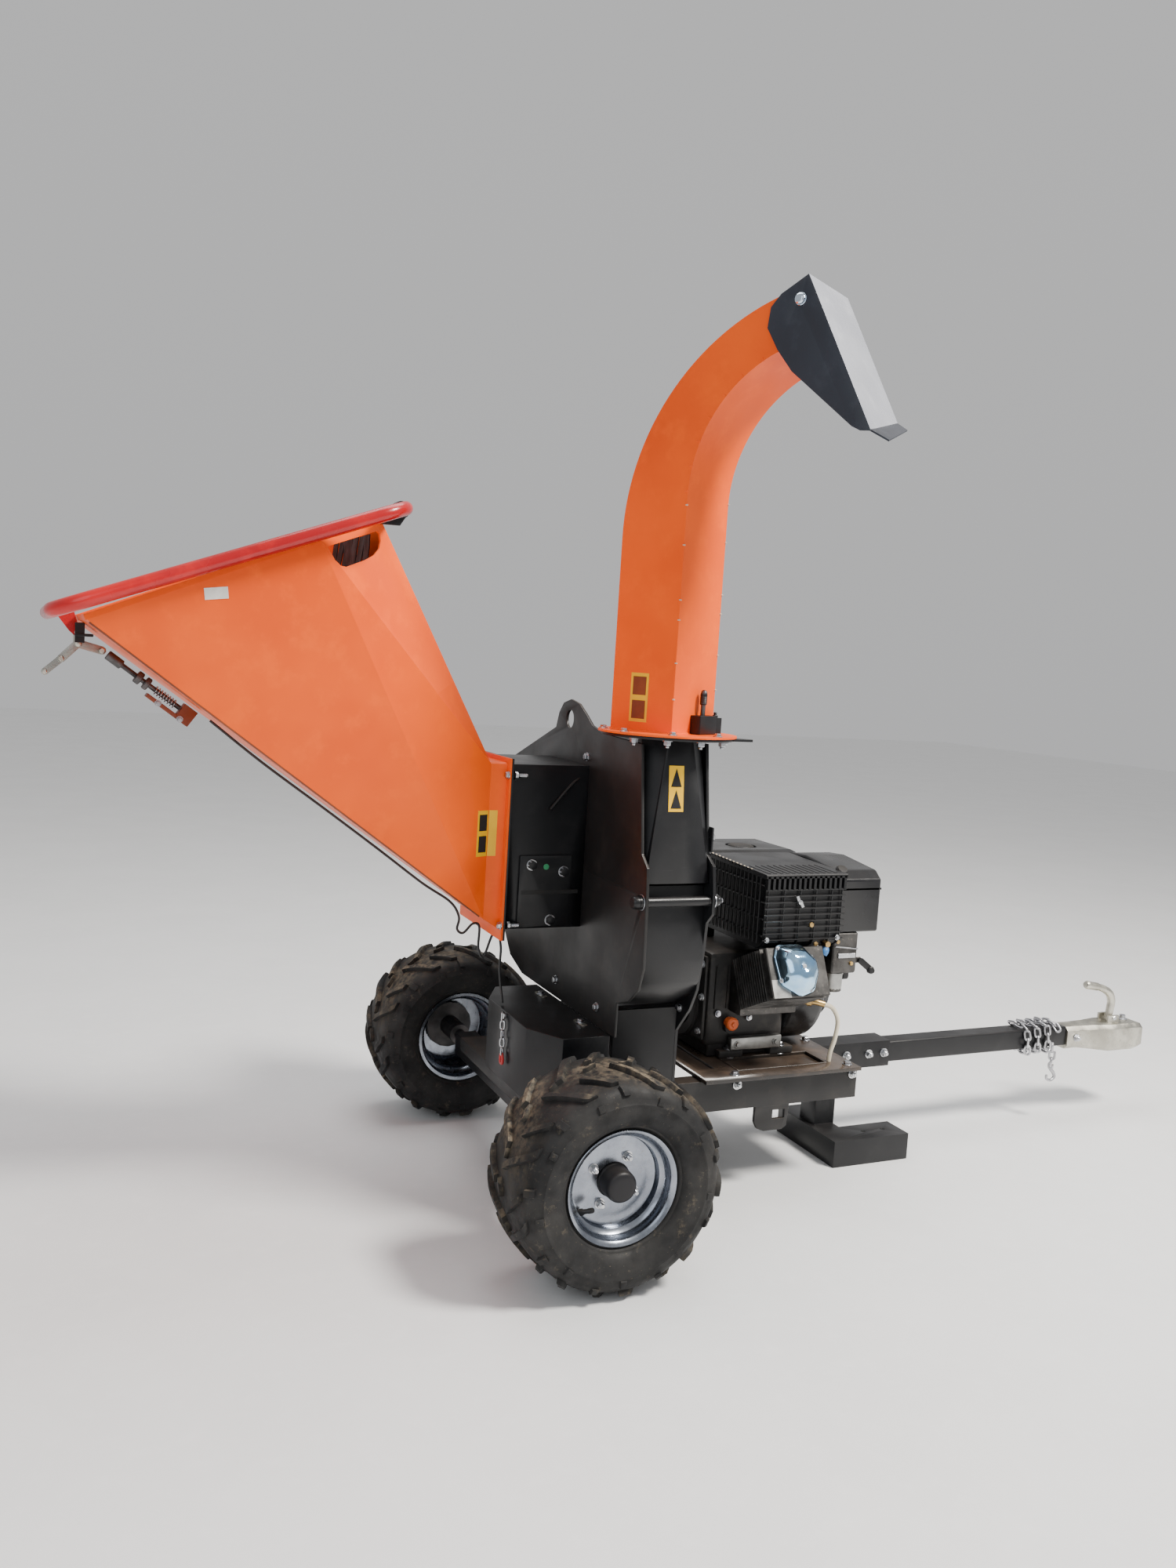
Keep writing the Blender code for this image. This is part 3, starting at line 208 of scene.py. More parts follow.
def rubber(name, centre=None, base=(0.0095, 0.0095, 0.0100), worn=(0.024, 0.023, 0.022), dusty=0.62, tan=(0.34, 0.27, 0.18)):
    m, nt, b = nodes_of(name)
    col = mixc(nt, ramp(nt, noise(nt, 12.0, 5, 0.6), 0.35, 0.7), base, worn)
    if centre is not None:
        tc = nt.nodes.new("ShaderNodeTexCoord")
        s = nt.nodes.new("ShaderNodeSeparateXYZ")
        nt.links.new(tc.outputs["Object"], s.inputs[0])
        dx = mul(nt, s.outputs["X"], centre[0], 'SUBTRACT')
        dz = mul(nt, s.outputs["Z"], centre[2], 'SUBTRACT')
        r = mul(nt, mul(nt, mul(nt, dx, dx), mul(nt, dz, dz), 'ADD'), 0.5, 'POWER')
        tread = ramp(nt, r, 0.178, 0.202)
        big = ramp(nt, noise(nt, 7.0, 4, 0.6), 0.38, 0.62)
        fine = ramp(nt, noise(nt, 60.0, 6, 0.7), 0.35, 0.65)
        fac = mul(nt, mul(nt, tread, mul(nt, big, 0.85, 'MULTIPLY')), mul(nt, fine, 1.0))
        side = mul(nt, ramp(nt, noise(nt, 40.0, 6, 0.78), 0.56, 0.72), 0.16)
        fac = mul(nt, fac, upward(nt, -0.2, 0.75))
        fac = mul(nt, fac, dusty)
        fac = mul(nt, fac, side, 'MAXIMUM')
        sp = ramp(nt, noise(nt, 230.0, 4, 0.7), 0.66, 0.73, 0.0, 0.40)
        fac = mul(nt, fac, sp, 'MAXIMUM')
        col = mixc(nt, fac, col, tan)
    nt.links.new(col, b.inputs["Base Color"])
    nt.links.new(ramp(nt, noise(nt, 30.0, 4), 0.3, 0.7, 0.55, 0.85), b.inputs["Roughness"])
    b.inputs["Specular IOR Level"].default_value = 0.28
    bump(nt, b, noise(nt, 320.0, 5, 0.7), 0.35, 0.0008)
    return m


def plastic(name, base, light, rough=(0.35, 0.55), peel=0.3, scale=900, spec=0.45, dust=0.15):
    return paint(name, base, tuple(c * 0.7 for c in base), light, rough, 0.0, dust, peel, scale, spec=spec)


ORANGE = paint("m_orange", (0.92, 0.112, 0.0005), (0.78, 0.082, 0.0005), (0.96, 0.128, 0.001), (0.36, 0.48), coat=0.03, dust=0.03, peel=0.10, dust_rgb=(0.60, 0.22, 0.06), spec=0.20)
ORANGE_BR = paint("m_orange_brown", (0.20, 0.045, 0.016), (0.10, 0.026, 0.012), (0.28, 0.07, 0.02), (0.35, 0.5), dust=0.10, spec=0.35)
BLACK = paint("m_black", (0.0085, 0.0088, 0.0100), (0.0050, 0.0052, 0.0062), (0.015, 0.015, 0.016), (0.30, 0.44), coat=0.04, dust=0.04, peel=0.22, dust_rgb=(0.16, 0.12, 0.09), spec=0.34, scratch=0.03)
BLACK_DUSTY = paint("m_black_dusty", (0.0130, 0.0122, 0.0120), (0.0080, 0.0078, 0.0080), (0.026, 0.022, 0.019), (0.34, 0.50), coat=0.04, dust=0.16, peel=0.2, dust_rgb=(0.16, 0.11, 0.075), spec=0.34, scratch=0.04)
BLACK_DECK = paint("m_black_deck", (0.030, 0.023, 0.018), (0.014, 0.012, 0.011), (0.085, 0.060, 0.042), (0.24, 0.42), coat=0.15, dust=0.26, peel=0.15, dust_rgb=(0.24, 0.16, 0.11), spec=0.4, scratch=0.08)
DEFL = paint("m_deflector", (0.026, 0.031, 0.044), (0.018, 0.021, 0.030), (0.036, 0.042, 0.058), (0.34, 0.46), coat=0.05, dust=0.03, peel=0.12, spec=0.35)
# light grey for the deflector's front faces: a painted sky reflection on the dark deflector
DEFL_FACE_PAINTED_REFLECTION = paint("m_deflector_face_painted_reflection", (0.38, 0.39, 0.43), (0.30, 0.31, 0.35), (0.46, 0.47, 0.50), (0.22, 0.36), coat=0.3, dust=0.05, peel=0.1)
RED = paint("m_red", (0.52, 0.006, 0.008), (0.34, 0.004, 0.008), (0.62, 0.010, 0.010), (0.20, 0.32), coat=0.25, dust=0.02, peel=0.06, spec=0.35, scratch=0.02)
ZINC = metal("m_zinc", (0.60, 0.61, 0.62), (0.42, 0.43, 0.46), (0.22, 0.40), 0.2, 300)
ZINC_OLD = metal("m_zinc_old", (0.66, 0.64, 0.56), (0.46, 0.44, 0.38), (0.34, 0.55), 0.35, 240, spots=(0.30, 0.27, 0.20))
GALV = metal("m_galvanised", (0.58, 0.58, 0.60), (0.36, 0.36, 0.38), (0.32, 0.52), 0.4, 260, spots=(0.22, 0.20, 0.18))
RIM = metal("m_rim", (0.30, 0.325, 0.37), (0.22, 0.24, 0.28), (0.20, 0.30), 0.05, 420, spots=(0.24, 0.24, 0.25))
STEEL = metal("m_steel", (0.50, 0.50, 0.51), (0.34, 0.34, 0.35), (0.25, 0.45), 0.3, 300, (1, 1, 12))
CHROME = metal("m_chrome", (0.78, 0.84, 0.90), (0.62, 0.70, 0.80), (0.06, 0.14), 0.03, 120)
BLUE_CHROME = metal("m_blue_chrome", (0.30, 0.56, 0.86), (0.50, 0.72, 0.90), (0.08, 0.17), 0.03, 120)
IRON = metal("m_iron", (0.16, 0.15, 0.15), (0.09, 0.09, 0.09), (0.45, 0.65), 0.6, 380)
ALLOY = metal("m_alloy", (0.13, 0.125, 0.12), (0.06, 0.058, 0.056), (0.45, 0.62), 0.6, 420, spots=(0.22, 0.20, 0.18))
ALLOY_L = metal("m_alloy_light", (0.46, 0.46, 0.44), (0.30, 0.30, 0.29), (0.36, 0.5), 0.5, 420)
BRASS = metal("m_brass", (0.62, 0.42, 0.16), (0.42, 0.28, 0.12), (0.3, 0.5), 0.2, 300)
GREASE = paint("m_engine_dark", (0.028, 0.026, 0.025), (0.012, 0.012, 0.012), (0.075, 0.066, 0.058), (0.40, 0.60), dust=0.22, peel=0.5, peel_scale=420, dust_rgb=(0.22, 0.17, 0.13), spec=0.4)
PLAS = plastic("m_plastic", (0.0100, 0.0100, 0.0110), (0.020, 0.020, 0.022), spec=0.35, dust=0.05)
PLAS_S = plastic("m_plastic_sheen", (0.0110, 0.0112, 0.0125), (0.020, 0.020, 0.023), (0.20, 0.32), 0.15, 700, 0.45, 0.015)
CAPM = plastic("m_hub_cap", (0.0095, 0.0090, 0.0110), (0.018, 0.017, 0.020), (0.40, 0.55), spec=0.3, dust=0.04)
RUB = rubber("m_rubber")
HOSE = plastic("m_hose", (0.74, 0.66, 0.50), (0.82, 0.76, 0.62), (0.25, 0.4), 0.1, 300)
CABLE = plastic("m_cable", (0.016, 0.016, 0.017), (0.034, 0.034, 0.036), (0.35, 0.5))
O_PLUG = plastic("m_orange_plug", (0.85, 0.14, 0.02), (0.95, 0.25, 0.06), (0.35, 0.5))
RED_PL = plastic("m_red_plastic", (0.60, 0.03, 0.03), (0.75, 0.08, 0.06), (0.3, 0.45))
GREEN = plastic("m_green_dot", (0.03, 0.30, 0.12), (0.06, 0.45, 0.2))
BLUE_PL = plastic("m_blue", (0.06, 0.22, 0.52), (0.12, 0.34, 0.7), (0.25, 0.4))
YELLOW = plastic("m_sticker_yellow", (0.88, 0.50, 0.002), (0.92, 0.58, 0.006), (0.32, 0.45), 0.05, 200, dust=0.08)
WHITE = plastic("m_sticker_white", (0.80, 0.78, 0.72), (0.90, 0.88, 0.84), (0.35, 0.5), 0.05, 200, dust=0.15)
# near black: printed marks on the stickers, and painted shade in the stand's bolt holes
BLACK_PRINT_AND_PAINTED_SHADE = paint("m_black_print_and_painted_shade", (0.006, 0.006, 0.006), (0.004, 0.004, 0.004), (0.010, 0.010, 0.010), (0.7, 0.9), dust=0.0, peel=0.2)
BELT = rubber("m_belt", base=(0.016, 0.016, 0.016), worn=(0.035, 0.034, 0.033))
# tan: the chute's weld dots, and painted highlights along the muffler guard's top edge
TAN_WELD_AND_PAINTED_HIGHLIGHT = plastic("m_tan_weld_and_painted_highlight", (0.55, 0.45, 0.33), (0.70, 0.60, 0.46), (0.3, 0.5), 0.2, 300)


# ------------------------------------------------------------------ mesh helpers (all in the axle frame)
def face_out(bm):
    bmesh.ops.recalc_face_normals(bm, faces=bm.faces)
    if bm.calc_volume(signed=True) < 0:
        bmesh.ops.reverse_faces(bm, faces=bm.faces)
    return bm


def loft(rings, closed=False, cap=True):
    bm = bmesh.new()
    vs = [[bm.verts.new(p) for p in r] for r in rings]
    n = len(rings[0])
    for i in range(len(vs) if closed else len(vs) - 1):
        a, b = vs[i], vs[(i + 1) % len(vs)]
        for k in range(n):
            bm.faces.new((a[k], a[(k + 1) % n], b[(k + 1) % n], b[k]))
    if not closed and cap:
        bm.faces.new(list(reversed(vs[0])))
        bm.faces.new(vs[-1])
    return face_out(bm)


def box(x0, x1, y0, y1, z0, z1, bevel=0.0, seg=2):
    bm = loft([[(x0, y0, z), (x1, y0, z), (x1, y1, z), (x0, y1, z)] for z in (z0, z1)])
    if bevel:
        bmesh.ops.bevel(bm, geom=list(bm.edges), offset=bevel, segments=seg, profile=0.5, affect='EDGES')
    return face_out(bm)


def prism(pts, axis, a, b):
    def at(p, h):
        return {'x': (h, p[0], p[1]), 'y': (p[0], h, p[1]), 'z': (p[0], p[1], h)}[axis]
    return loft([[at(p, h) for p in pts] for h in (a, b)])


AXES = {'x': (Vector((0, 1, 0)), Vector((0, 0, 1)), Vector((1, 0, 0))),
        'y': (Vector((0, 0, 1)), Vector((1, 0, 0)), Vector((0, 1, 0))),
        'z': (Vector((1, 0, 0)), Vector((0, 1, 0)), Vector((0, 0, 1)))}


def basis(n):
    n = Vector(n).normalized()
    u = Vector((0, 0, 1)) if abs(n.z) < 0.9 else Vector((1, 0, 0))
    u = (u - n * u.dot(n)).normalized()
    return (u, n.cross(u), n)


def lathe(profile, centre, axis='x', seg=64, phase=0.0):
    bm = bmesh.new()
    u, v, w = AXES[axis] if isinstance(axis, str) else (basis(axis) if not isinstance(axis, tuple) or not isinstance(axis[0], Vector) else axis)
    c = Vector(centre)
    rows = []
    for r, h in profile:
        if r < 1e-9:
            rows.append([bm.verts.new(c + w * h)] * seg)
        else:
            rows.append([bm.verts.new(c + w * h + (u * math.cos(2 * math.pi * k / seg + phase) + v * math.sin(2 * math.pi * k / seg + phase)) * r) for k in range(seg)])
    m = len(rows)
    for i in range(m):
        a, b = rows[i], rows[(i + 1) % m]
        if a[0] is a[1] and b[0] is b[1]:
            continue
        for k in range(seg):
            q = [a[k], a[(k + 1) % seg], b[(k + 1) % seg], b[k]]
            q = [x for j, x in enumerate(q) if x not in q[:j]]
            if len(q) > 2:
                bm.faces.new(q)
    return face_out(bm)


def spline(pts, count):
    p = [Vector(q) for q in pts]
    p = [p[0] * 2 - p[1]] + p + [p[-1] * 2 - p[-2]]
    out = []
    segs = len(p) - 3
    for i in range(count):
        t = segs * i / (count - 1)
        k = min(int(t), segs - 1)
        t -= k
        a, b, c, d = p[k:k + 4]
        out.append(0.5 * ((2 * b) + (c - a) * t + (2 * a - 5 * b + 4 * c - d) * t * t + (3 * b - a - 3 * c + d) * t ** 3))
    return out


def tube(pts, r, seg=12, closed=False):
    pts = [Vector(p) for p in pts]
    n = len(pts)
    rings, prev = [], None
    for i, p in enumerate(pts):
        t = (pts[(i + 1) % n] - pts[i - 1]).normalized() if closed else (pts[min(i + 1, n - 1)] - pts[max(i - 1, 0)]).normalized()
        if prev is None:
            ref = Vector((0, 0, 1)) if abs(t.z) < 0.9 else Vector((1, 0, 0))
            nrm = (ref - t * ref.dot(t)).normalized()
        else:
            nrm = (prev - t * prev.dot(t)).normalized()
        prev = nrm
        bi = t.cross(nrm)
        rr = r(i / (n - 1)) if callable(r) else r
        rings.append([p + (nrm * math.cos(2 * math.pi * k / seg) + bi * math.sin(2 * math.pi * k / seg)) * rr for k in range(seg)])
    return loft(rings, closed=closed)


def join(*bms):
    """Shells put into one mesh; each stays a closed shell of its own."""
    out = bmesh.new()
    for b in bms:
        me = bpy.data.meshes.new("t")
        b.to_mesh(me)
        b.free()
        out.from_mesh(me)
        bpy.data.meshes.remove(me)
    return out


def at_frame(bm, origin, u, v, w):
    """Moves a mesh made round the origin (x along u, y along v, z along w)."""
    m = Matrix(((u.x, v.x, w.x, origin[0]), (u.y, v.y, w.y, origin[1]), (u.z, v.z, w.z, origin[2]), (0, 0, 0, 1)))
    bmesh.ops.transform(bm, matrix=m, verts=bm.verts)
    return face_out(bm)


def cut(bm, others, op='DIFFERENCE'):
    temp = []

    def ob_of(b):
        me = bpy.data.meshes.new("tmp")
        face_out(b)
        b.to_mesh(me)
        b.free()
        ob = bpy.data.objects.new("tmp", me)
        bpy.context.scene.collection.objects.link(ob)
        temp.append(ob)
        return ob
    base = ob_of(bm)
    for o in others:
        mod = base.modifiers.new("b", 'BOOLEAN')
        mod.operation, mod.solver, mod.object = op, 'EXACT', ob_of(o)
    me = bpy.data.meshes.new_from_object(base.evaluated_get(bpy.context.evaluated_depsgraph_get()))
    out = bmesh.new()
    out.from_mesh(me)
    bpy.data.meshes.remove(me)
    for o in temp:
        m = o.data
        bpy.data.objects.remove(o, do_unlink=True)
        bpy.data.meshes.remove(m)
    bmesh.ops.remove_doubles(out, verts=out.verts, dist=1e-6)
    bmesh.ops.dissolve_limit(out, angle_limit=math.radians(0.2), verts=out.verts, edges=out.edges)
    return face_out(out)


def put(name, bm, mat, body, repl=(), smooth=35, bevel=0.0, seg=2, shifted=True, limit=30):
    if shifted:
        bmesh.ops.translate(bm, verts=bm.verts, vec=(SX, SY, 0))
    me = bpy.data.meshes.new(name)
    bm.to_mesh(me)
    bm.free()
    ob = bpy.data.objects.new(name, me)
    bpy.context.scene.collection.objects.link(ob)
    for m in (mat if isinstance(mat, (list, tuple)) else [mat]):
        me.materials.append(m)
    if bevel:
        mod = ob.modifiers.new("edge", 'BEVEL')
        mod.width, mod.segments, mod.limit_method, mod.angle_limit = bevel, seg, 'ANGLE', math.radians(limit)
        mod.use_clamp_overlap = True
        mod.harden_normals = True
        me.shade_smooth()
    elif smooth:
        me.shade_smooth()
        me.set_sharp_from_angle(angle=math.radians(smooth))
    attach(ob, body)
    if repl:
        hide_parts(*([repl] if isinstance(repl, str) else repl))
    return ob


def dress(node, mat, bevel=0.0008, seg=2, limit=30, name=None):
    """The CAD node's own shape with its edges eased and its triangles merged into flat faces."""
    src = NODES[node]
    bm = bmesh.new()
    bm.from_mesh(src.data)
    bmesh.ops.remove_doubles(bm, verts=bm.verts, dist=1e-5)
    bmesh.ops.dissolve_limit(bm, angle_limit=math.radians(0.6), verts=bm.verts, edges=bm.edges)
    return put(name or node + "_look", bm, mat, src["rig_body"], node, bevel=bevel, seg=seg, shifted=False, limit=limit)


def keep(node, mat, smooth=None):
    ob = NODES[node]
    ob.data.materials.clear()
    ob.data.materials.append(mat)


def hexbolt(p, n, r=0.008, h=0.0055, washer=0.0, flange=False, phase=0.0, dome=True):
    """Hexagon head with a rounded crown, on a washer, standing on the face through p with normal n."""
    u, v, w = basis(n)
    c = Vector(p)
    parts = []
    z = 0.0
    if washer:
        parts.append(lathe([(0, z), (washer, z), (washer, z + 0.0014), (washer - 0.0004, z + 0.0018), (0, z + 0.0018)], c, (u, v, w), 28))
        z += 0.0018
    if flange:
        parts.append(lathe([(0, z), (r * 1.25, z), (r * 1.28, z + 0.0008), (r * 1.05, z + 0.0018), (0, z + 0.0018)], c, (u, v, w), 28))
        z += 0.0012
    hx = lathe([(0, z), (r, z), (r, z + h * 0.80), (r * 0.86, z + h), (r * 0.45, z + h * 1.03), (0, z + h * 1.03)], c, (u, v, w), 6, phase)
    parts.append(hx)
    return join(*parts)


def nut_on_stud(p, n, r=0.008, h=0.0065, stud=0.0045, out=0.007, washer=0.0, phase=0.0):
    u, v, w = basis(n)
    c = Vector(p)
    parts = []
    z = 0.0
    if washer:
        parts.append(lathe([(0, 0), (washer, 0), (washer, 0.0018), (0, 0.0018)], c, (u, v, w), 28))
        z = 0.0018
    parts.append(lathe([(0, z), (r * 0.9, z), (r, z + 0.0008), (r, z + h - 0.0012), (r * 0.88, z + h), (0, z + h)], c, (u, v, w), 6, phase))
    prof = [(0, z + h - 0.001), (stud, z + h - 0.001)]
    k = 0
    zz = z + h
    while zz < z + h + out:
        prof += [(stud, zz), (stud * 0.86, zz + 0.0006)]
        zz += 0.0012
    prof += [(stud * 0.8, z + h + out + 0.0012), (0, z + h + out + 0.0012)]
    parts.append(lathe(prof, c, (u, v, w), 16))
    return join(*parts)


def cw_(s, t, z, c=(0.148, -0.290), yaw=math.radians(-60.0)):
    return Vector((c[0] + s * math.cos(yaw) - t * math.sin(yaw), c[1] + s * math.sin(yaw) + t * math.cos(yaw), z))


YAW = math.radians(-60.0)
S_DIR = Vector((math.cos(YAW), math.sin(YAW), 0))
T_DIR = Vector((-math.sin(YAW), math.cos(YAW), 0))
COS_E, SIN_E = math.cos(math.radians(25)), math.sin(math.radians(25))

# ------------------------------------------------------------------ cords
cable_pts = [(-0.655, -0.028, 0.962), (-0.560, -0.030, 0.888), (-0.440, -0.030, 0.802), (-0.330, -0.030, 0.722), (-0.240, -0.030, 0.655), (-0.180, -0.030, 0.616),
             (-0.160, -0.032, 0.585), (-0.163, -0.034, 0.560), (-0.150, -0.035, 0.552), (-0.131, -0.035, 0.570), (-0.117, -0.036, 0.564), (-0.117, -0.038, 0.520),
             (-0.106, -0.040, 0.502), (-0.090, -0.040, 0.545), (-0.078, -0.040, 0.553), (-0.070, -0.042, 0.520), (-0.070, -0.042, 0.470), (-0.060, -0.042, 0.4045)]


def length_of(p):
    return sum((b - a).length for a, b in zip(p, p[1:]))


route = spline(cable_pts, 160)
cab = put("switch_cable_look", tube(route, 0.0025, 10), CABLE, "chassis", "switch_cable")
hose_pts = [(0.640, -0.176, 0.398), (0.662, -0.178, 0.388), (0.678, -0.178, 0.360), (0.676, -0.176, 0.320), (0.670, -0.172, 0.290), (0.668, -0.170, 0.2662)]
hroute = spline(hose_pts, 60)
hose = put("drain_hose_look", tube(hroute, 0.0050, 16), HOSE, "chassis", "drain_hose")

# ------------------------------------------------------------------ wheels
TYRE_R, TRACK_HALF = 0.203, 0.4455
outer_half = [(0.0995, 0.0560), (0.0996, 0.0705), (0.1035, 0.0722), (0.1085, 0.0735), (0.1100, 0.0765), (0.1118, 0.0790), (0.1145, 0.0800), (0.1160, 0.0835), (0.1230, 0.0885), (0.1330, 0.0930),
              (0.1440, 0.0955), (0.1540, 0.0962), (0.1552, 0.0970), (0.1580, 0.0970), (0.1592, 0.0960), (0.1680, 0.0945), (0.1760, 0.0910), (0.1825, 0.0850), (0.1870, 0.0770), (0.1900, 0.0660), (0.1920, 0.0500), (0.1932, 0.0300), (0.1936, 0.0)]
inner_half = [(0.1880, 0.0), (0.1870, 0.0450), (0.1740, 0.0800), (0.1540, 0.0880), (0.1280, 0.0820), (0.1040, 0.0560)]
carc = [(r, h) for r, h in outer_half]


def carcass_at(d):
    """Point and outward normal on the carcass, d metres along it from the tread centre."""
    pts = list(reversed(outer_half))
    for (r0, h0), (r1, h1) in zip(pts, pts[1:]):
        L = math.hypot(r1 - r0, h1 - h0)
        if d <= L:
            f = d / L
            tr, th = (r1 - r0) / L, (h1 - h0) / L
            return r0 + (r1 - r0) * f, h0 + (h1 - h0) * f, th, -tr
        d -= L
    return pts[-1][0], pts[-1][1], 0, 1


def lug(theta, side, stations, width, sweep, height):
    """A block on the tread: stations are distances from the centre line; its angle sweeps along them."""
    rings = []
    for i, d in enumerate(stations):
        f = i / (len(stations) - 1)
        r, h, nr, nh = carcass_at(d)
        nn = math.hypot(nr, nh) or 1
        nr, nh = nr / nn, nh / nn
        hh = height(f)
        w = width(f)
        th = theta + sweep * f
        ring = []
        for rr, hv, ww in ((r - nr * 0.002, h - nh * 0.002, w * 0.5), (r + nr * hh * 0.55, h + nh * hh * 0.55, w * 0.46), (r + nr * hh, h + nh * hh, w * 0.38),
                           (r + nr * hh, h + nh * hh, -w * 0.38), (r + nr * hh * 0.55, h + nh * hh * 0.55, -w * 0.46), (r - nr * 0.002, h - nh * 0.002, -w * 0.5)):
            rr = min(rr, TYRE_R)
            hv = min(hv, 0.0982)
            a = th + ww / r
            ring.append(Vector((rr * math.sin(a), side * hv, rr * math.cos(a))))
        rings.append(ring)
    return loft(rings)


for side, tag in ((-1, "left"), (1, "right")):
    body = "wheel_" + tag
    piv = Vector((0.0, side * TRACK_HALF, TYRE_R))
    prof = outer_half + [(r, -h) for r, h in reversed(outer_half[:-1])] + [(r, -h) for r, h in reversed(inner_half[1:])] + inner_half
    parts = [lathe([(r, h * side) for r, h in prof], (0, 0, 0), 'y', 96)]
    N = 18
    for s2 in (-1, 1):
        for k in range(N):
            th = 2 * math.pi * (k + (0.5 if s2 > 0 else 0.0)) / N + 0.004 * math.sin(5.1 * k + s2)
            big = k % 2 == 0
            if big:
                st = [0.004, 0.016, 0.030, 0.044, 0.058, 0.070, 0.079, 0.085]
                parts.append(lug(th, s2, st, lambda f: 0.015 + 0.005 * f, 0.30, lambda f: 0.0094))
                parts.append(lug(th + 0.33, s2, [0.100, 0.105, 0.110, 0.114], lambda f: 0.013, 0.0, lambda f: 0.0038))
            else:
                parts.append(lug(th, s2, [0.028, 0.040, 0.052, 0.064, 0.074], lambda f: 0.016, 0.20, lambda f: 0.0090))
                parts.append(lug(th + 0.26, s2, [0.080, 0.086, 0.092, 0.097], lambda f: 0.015, 0.02, lambda f: 0.0056))
    for k in range(N):
        parts.append(lug(2 * math.pi * (k + 0.25) / N, 1, [0.0005, 0.006, 0.012], lambda f: 0.012, 0.10, lambda f: 0.0082))
    bm = join(*parts)
    bmesh.ops.translate(bm, verts=bm.verts, vec=piv)
    put("tyre_%s_look" % tag, bm, rubber("m_tyre_" + tag, centre=tuple(A(piv))), body, "tyre_" + tag, smooth=38)
    rim = [(0.1058, 0.0778), (0.1064, 0.0765), (0.1060, 0.0747), (0.1035, 0.0728), (0.0992, 0.0700), (0.0978, 0.0620), (0.0974, 0.0545), (0.0950, 0.0515), (0.0885, 0.0480), (0.0866, 0.0450), (0.0862, 0.0380),
           (0.0862, -0.0400), (0.0885, -0.0480), (0.0974, -0.0545), (0.0978, -0.0620), (0.0992, -0.0700), (0.1060, -0.0747), (0.1058, -0.0778), (0.0990, -0.0765), (0.0957, -0.0720), (0.0948, -0.0570), (0.0865, -0.0510), (0.0838, -0.0440), (0.0832, -0.0380),
           (0.0832, 0.0270), (0.0815, 0.0300), (0.0780, 0.0312), (0.0640, 0.0312), (0.0600, 0.0322), (0.0330, 0.0322), (0.0322, 0.0330), (0.0322, 0.0352), (0.0600, 0.0352), (0.0650, 0.0345), (0.0790, 0.0345), (0.0822, 0.0360), (0.0836, 0.0390),
           (0.0836, 0.0440), (0.0850, 0.0480), (0.0925, 0.0522), (0.0946, 0.0560), (0.0950, 0.0640), (0.0953, 0.0705), (0.0968, 0.0738), (0.1010, 0.0760), (0.1035, 0.0778), (0.1048, 0.0784)]
    put("rim_%s_look" % tag, lathe([(r, h * side) for r, h in rim], piv, 'y', 96), RIM, body, "rim_" + tag, smooth=38)
    bolts = []
    for k in range(4):
        a = math.radians(31 + 90 * k) if side < 0 else math.radians(20 + 90 * k)
        p = piv + Vector((0.0475 * math.sin(a), side * 0.0352, 0.0475 * math.cos(a)))
        bolts.append(nut_on_stud(p, (0, side, 0), 0.0078, 0.007, 0.0042, 0.006, washer=0.0095, phase=k))
    put("wheel_nuts_" + tag, join(*bolts), ZINC, body, smooth=30)
    cap = [(0.0, 0.0800 - 0.0030), (0.0160, 0.0768), (0.0225, 0.0760), (0.0262, 0.0740), (0.0285, 0.0700), (0.0292, 0.0640), (0.0298, 0.0420), (0.0312, 0.0405), (0.0312, 0.0358), (0.0270, 0.0358), (0.0262, 0.0690), (0.0, 0.0735)]
    put("hub_cap_%s_look" % tag, lathe([(r, h * side) for r, h in cap], piv, 'y', 64), CAPM, body, "hub_cap_" + tag, smooth=40)
    keep("hub_" + tag, IRON)
    va = math.radians(232)
    vr = Vector((math.sin(va), 0, math.cos(va)))
    base = piv + vr * 0.0800 + Vector((0, side * 0.0430, 0))
    n = (Vector((0, side, 0)) * 0.75 - vr * 0.65).normalized()
    put("valve_" + tag, lathe([(0, -0.004), (0.0062, -0.004), (0.0064, 0.003), (0.0045, 0.006), (0.0040, 0.016), (0.0048, 0.0165), (0.0048, 0.0255), (0.0040, 0.0270), (0, 0.0270)], base, n, 20), PLAS, body)

# ------------------------------------------------------------------ chassis
dress("chassis_frame", BLACK_DUSTY, 0.0016, 3)
dress("base_box", BLACK, 0.0016, 3)
dress("axle_beam", BLACK, 0.0022, 3)
dress("engine_deck", BLACK_DECK, 0.0012, 2)
dress("drawbar_sleeve", BLACK, 0.0014, 3)
dress("drawbar", BLACK, 0.0012, 2)
dress("parking_stand", BLACK, 0.0018, 3)
B = []
for x, z in ((0.820, 0.222), (0.884, 0.222), (0.928, 0.222)):
    for s in (-1, 1):
        B.append(nut_on_stud((x, s * 0.0310, z), (0, s, 0), 0.0085, 0.007, 0.0048, 0.004, washer=0.0105, phase=x * 40))
for x in (0.4080, 0.7020):
    for s in (-1, 1):
        B.append(hexbolt((x + (0.004 if x < 0.5 else -0.004), s * 0.1980, 0.2653), (0, 0, 1), 0.0080, 0.006, washer=0.0105, phase=x * 17))
        B.append(nut_on_stud((x + 0.010, s * 0.2000, 0.2440), (0, s, 0), 0.0080, 0.0065, 0.0045, 0.004, washer=0.0105, phase=x * 23))
for p in ((0.7060, -0.0215), (0.4600, -0.0860), (0.5900, -0.0860), (0.4600, 0.1350), (0.5900, 0.1350)):
    B.append(hexbolt((p[0], p[1] - (0.004 if p[1] < -0.05 else 0), 0.2653 if p[0] > 0.65 else 0.2653), (0, 0, 1), 0.0085, 0.007, washer=0.0115, phase=p[0] * 31))
put("frame_bolts", join(*B), ZINC, "chassis", smooth=30)
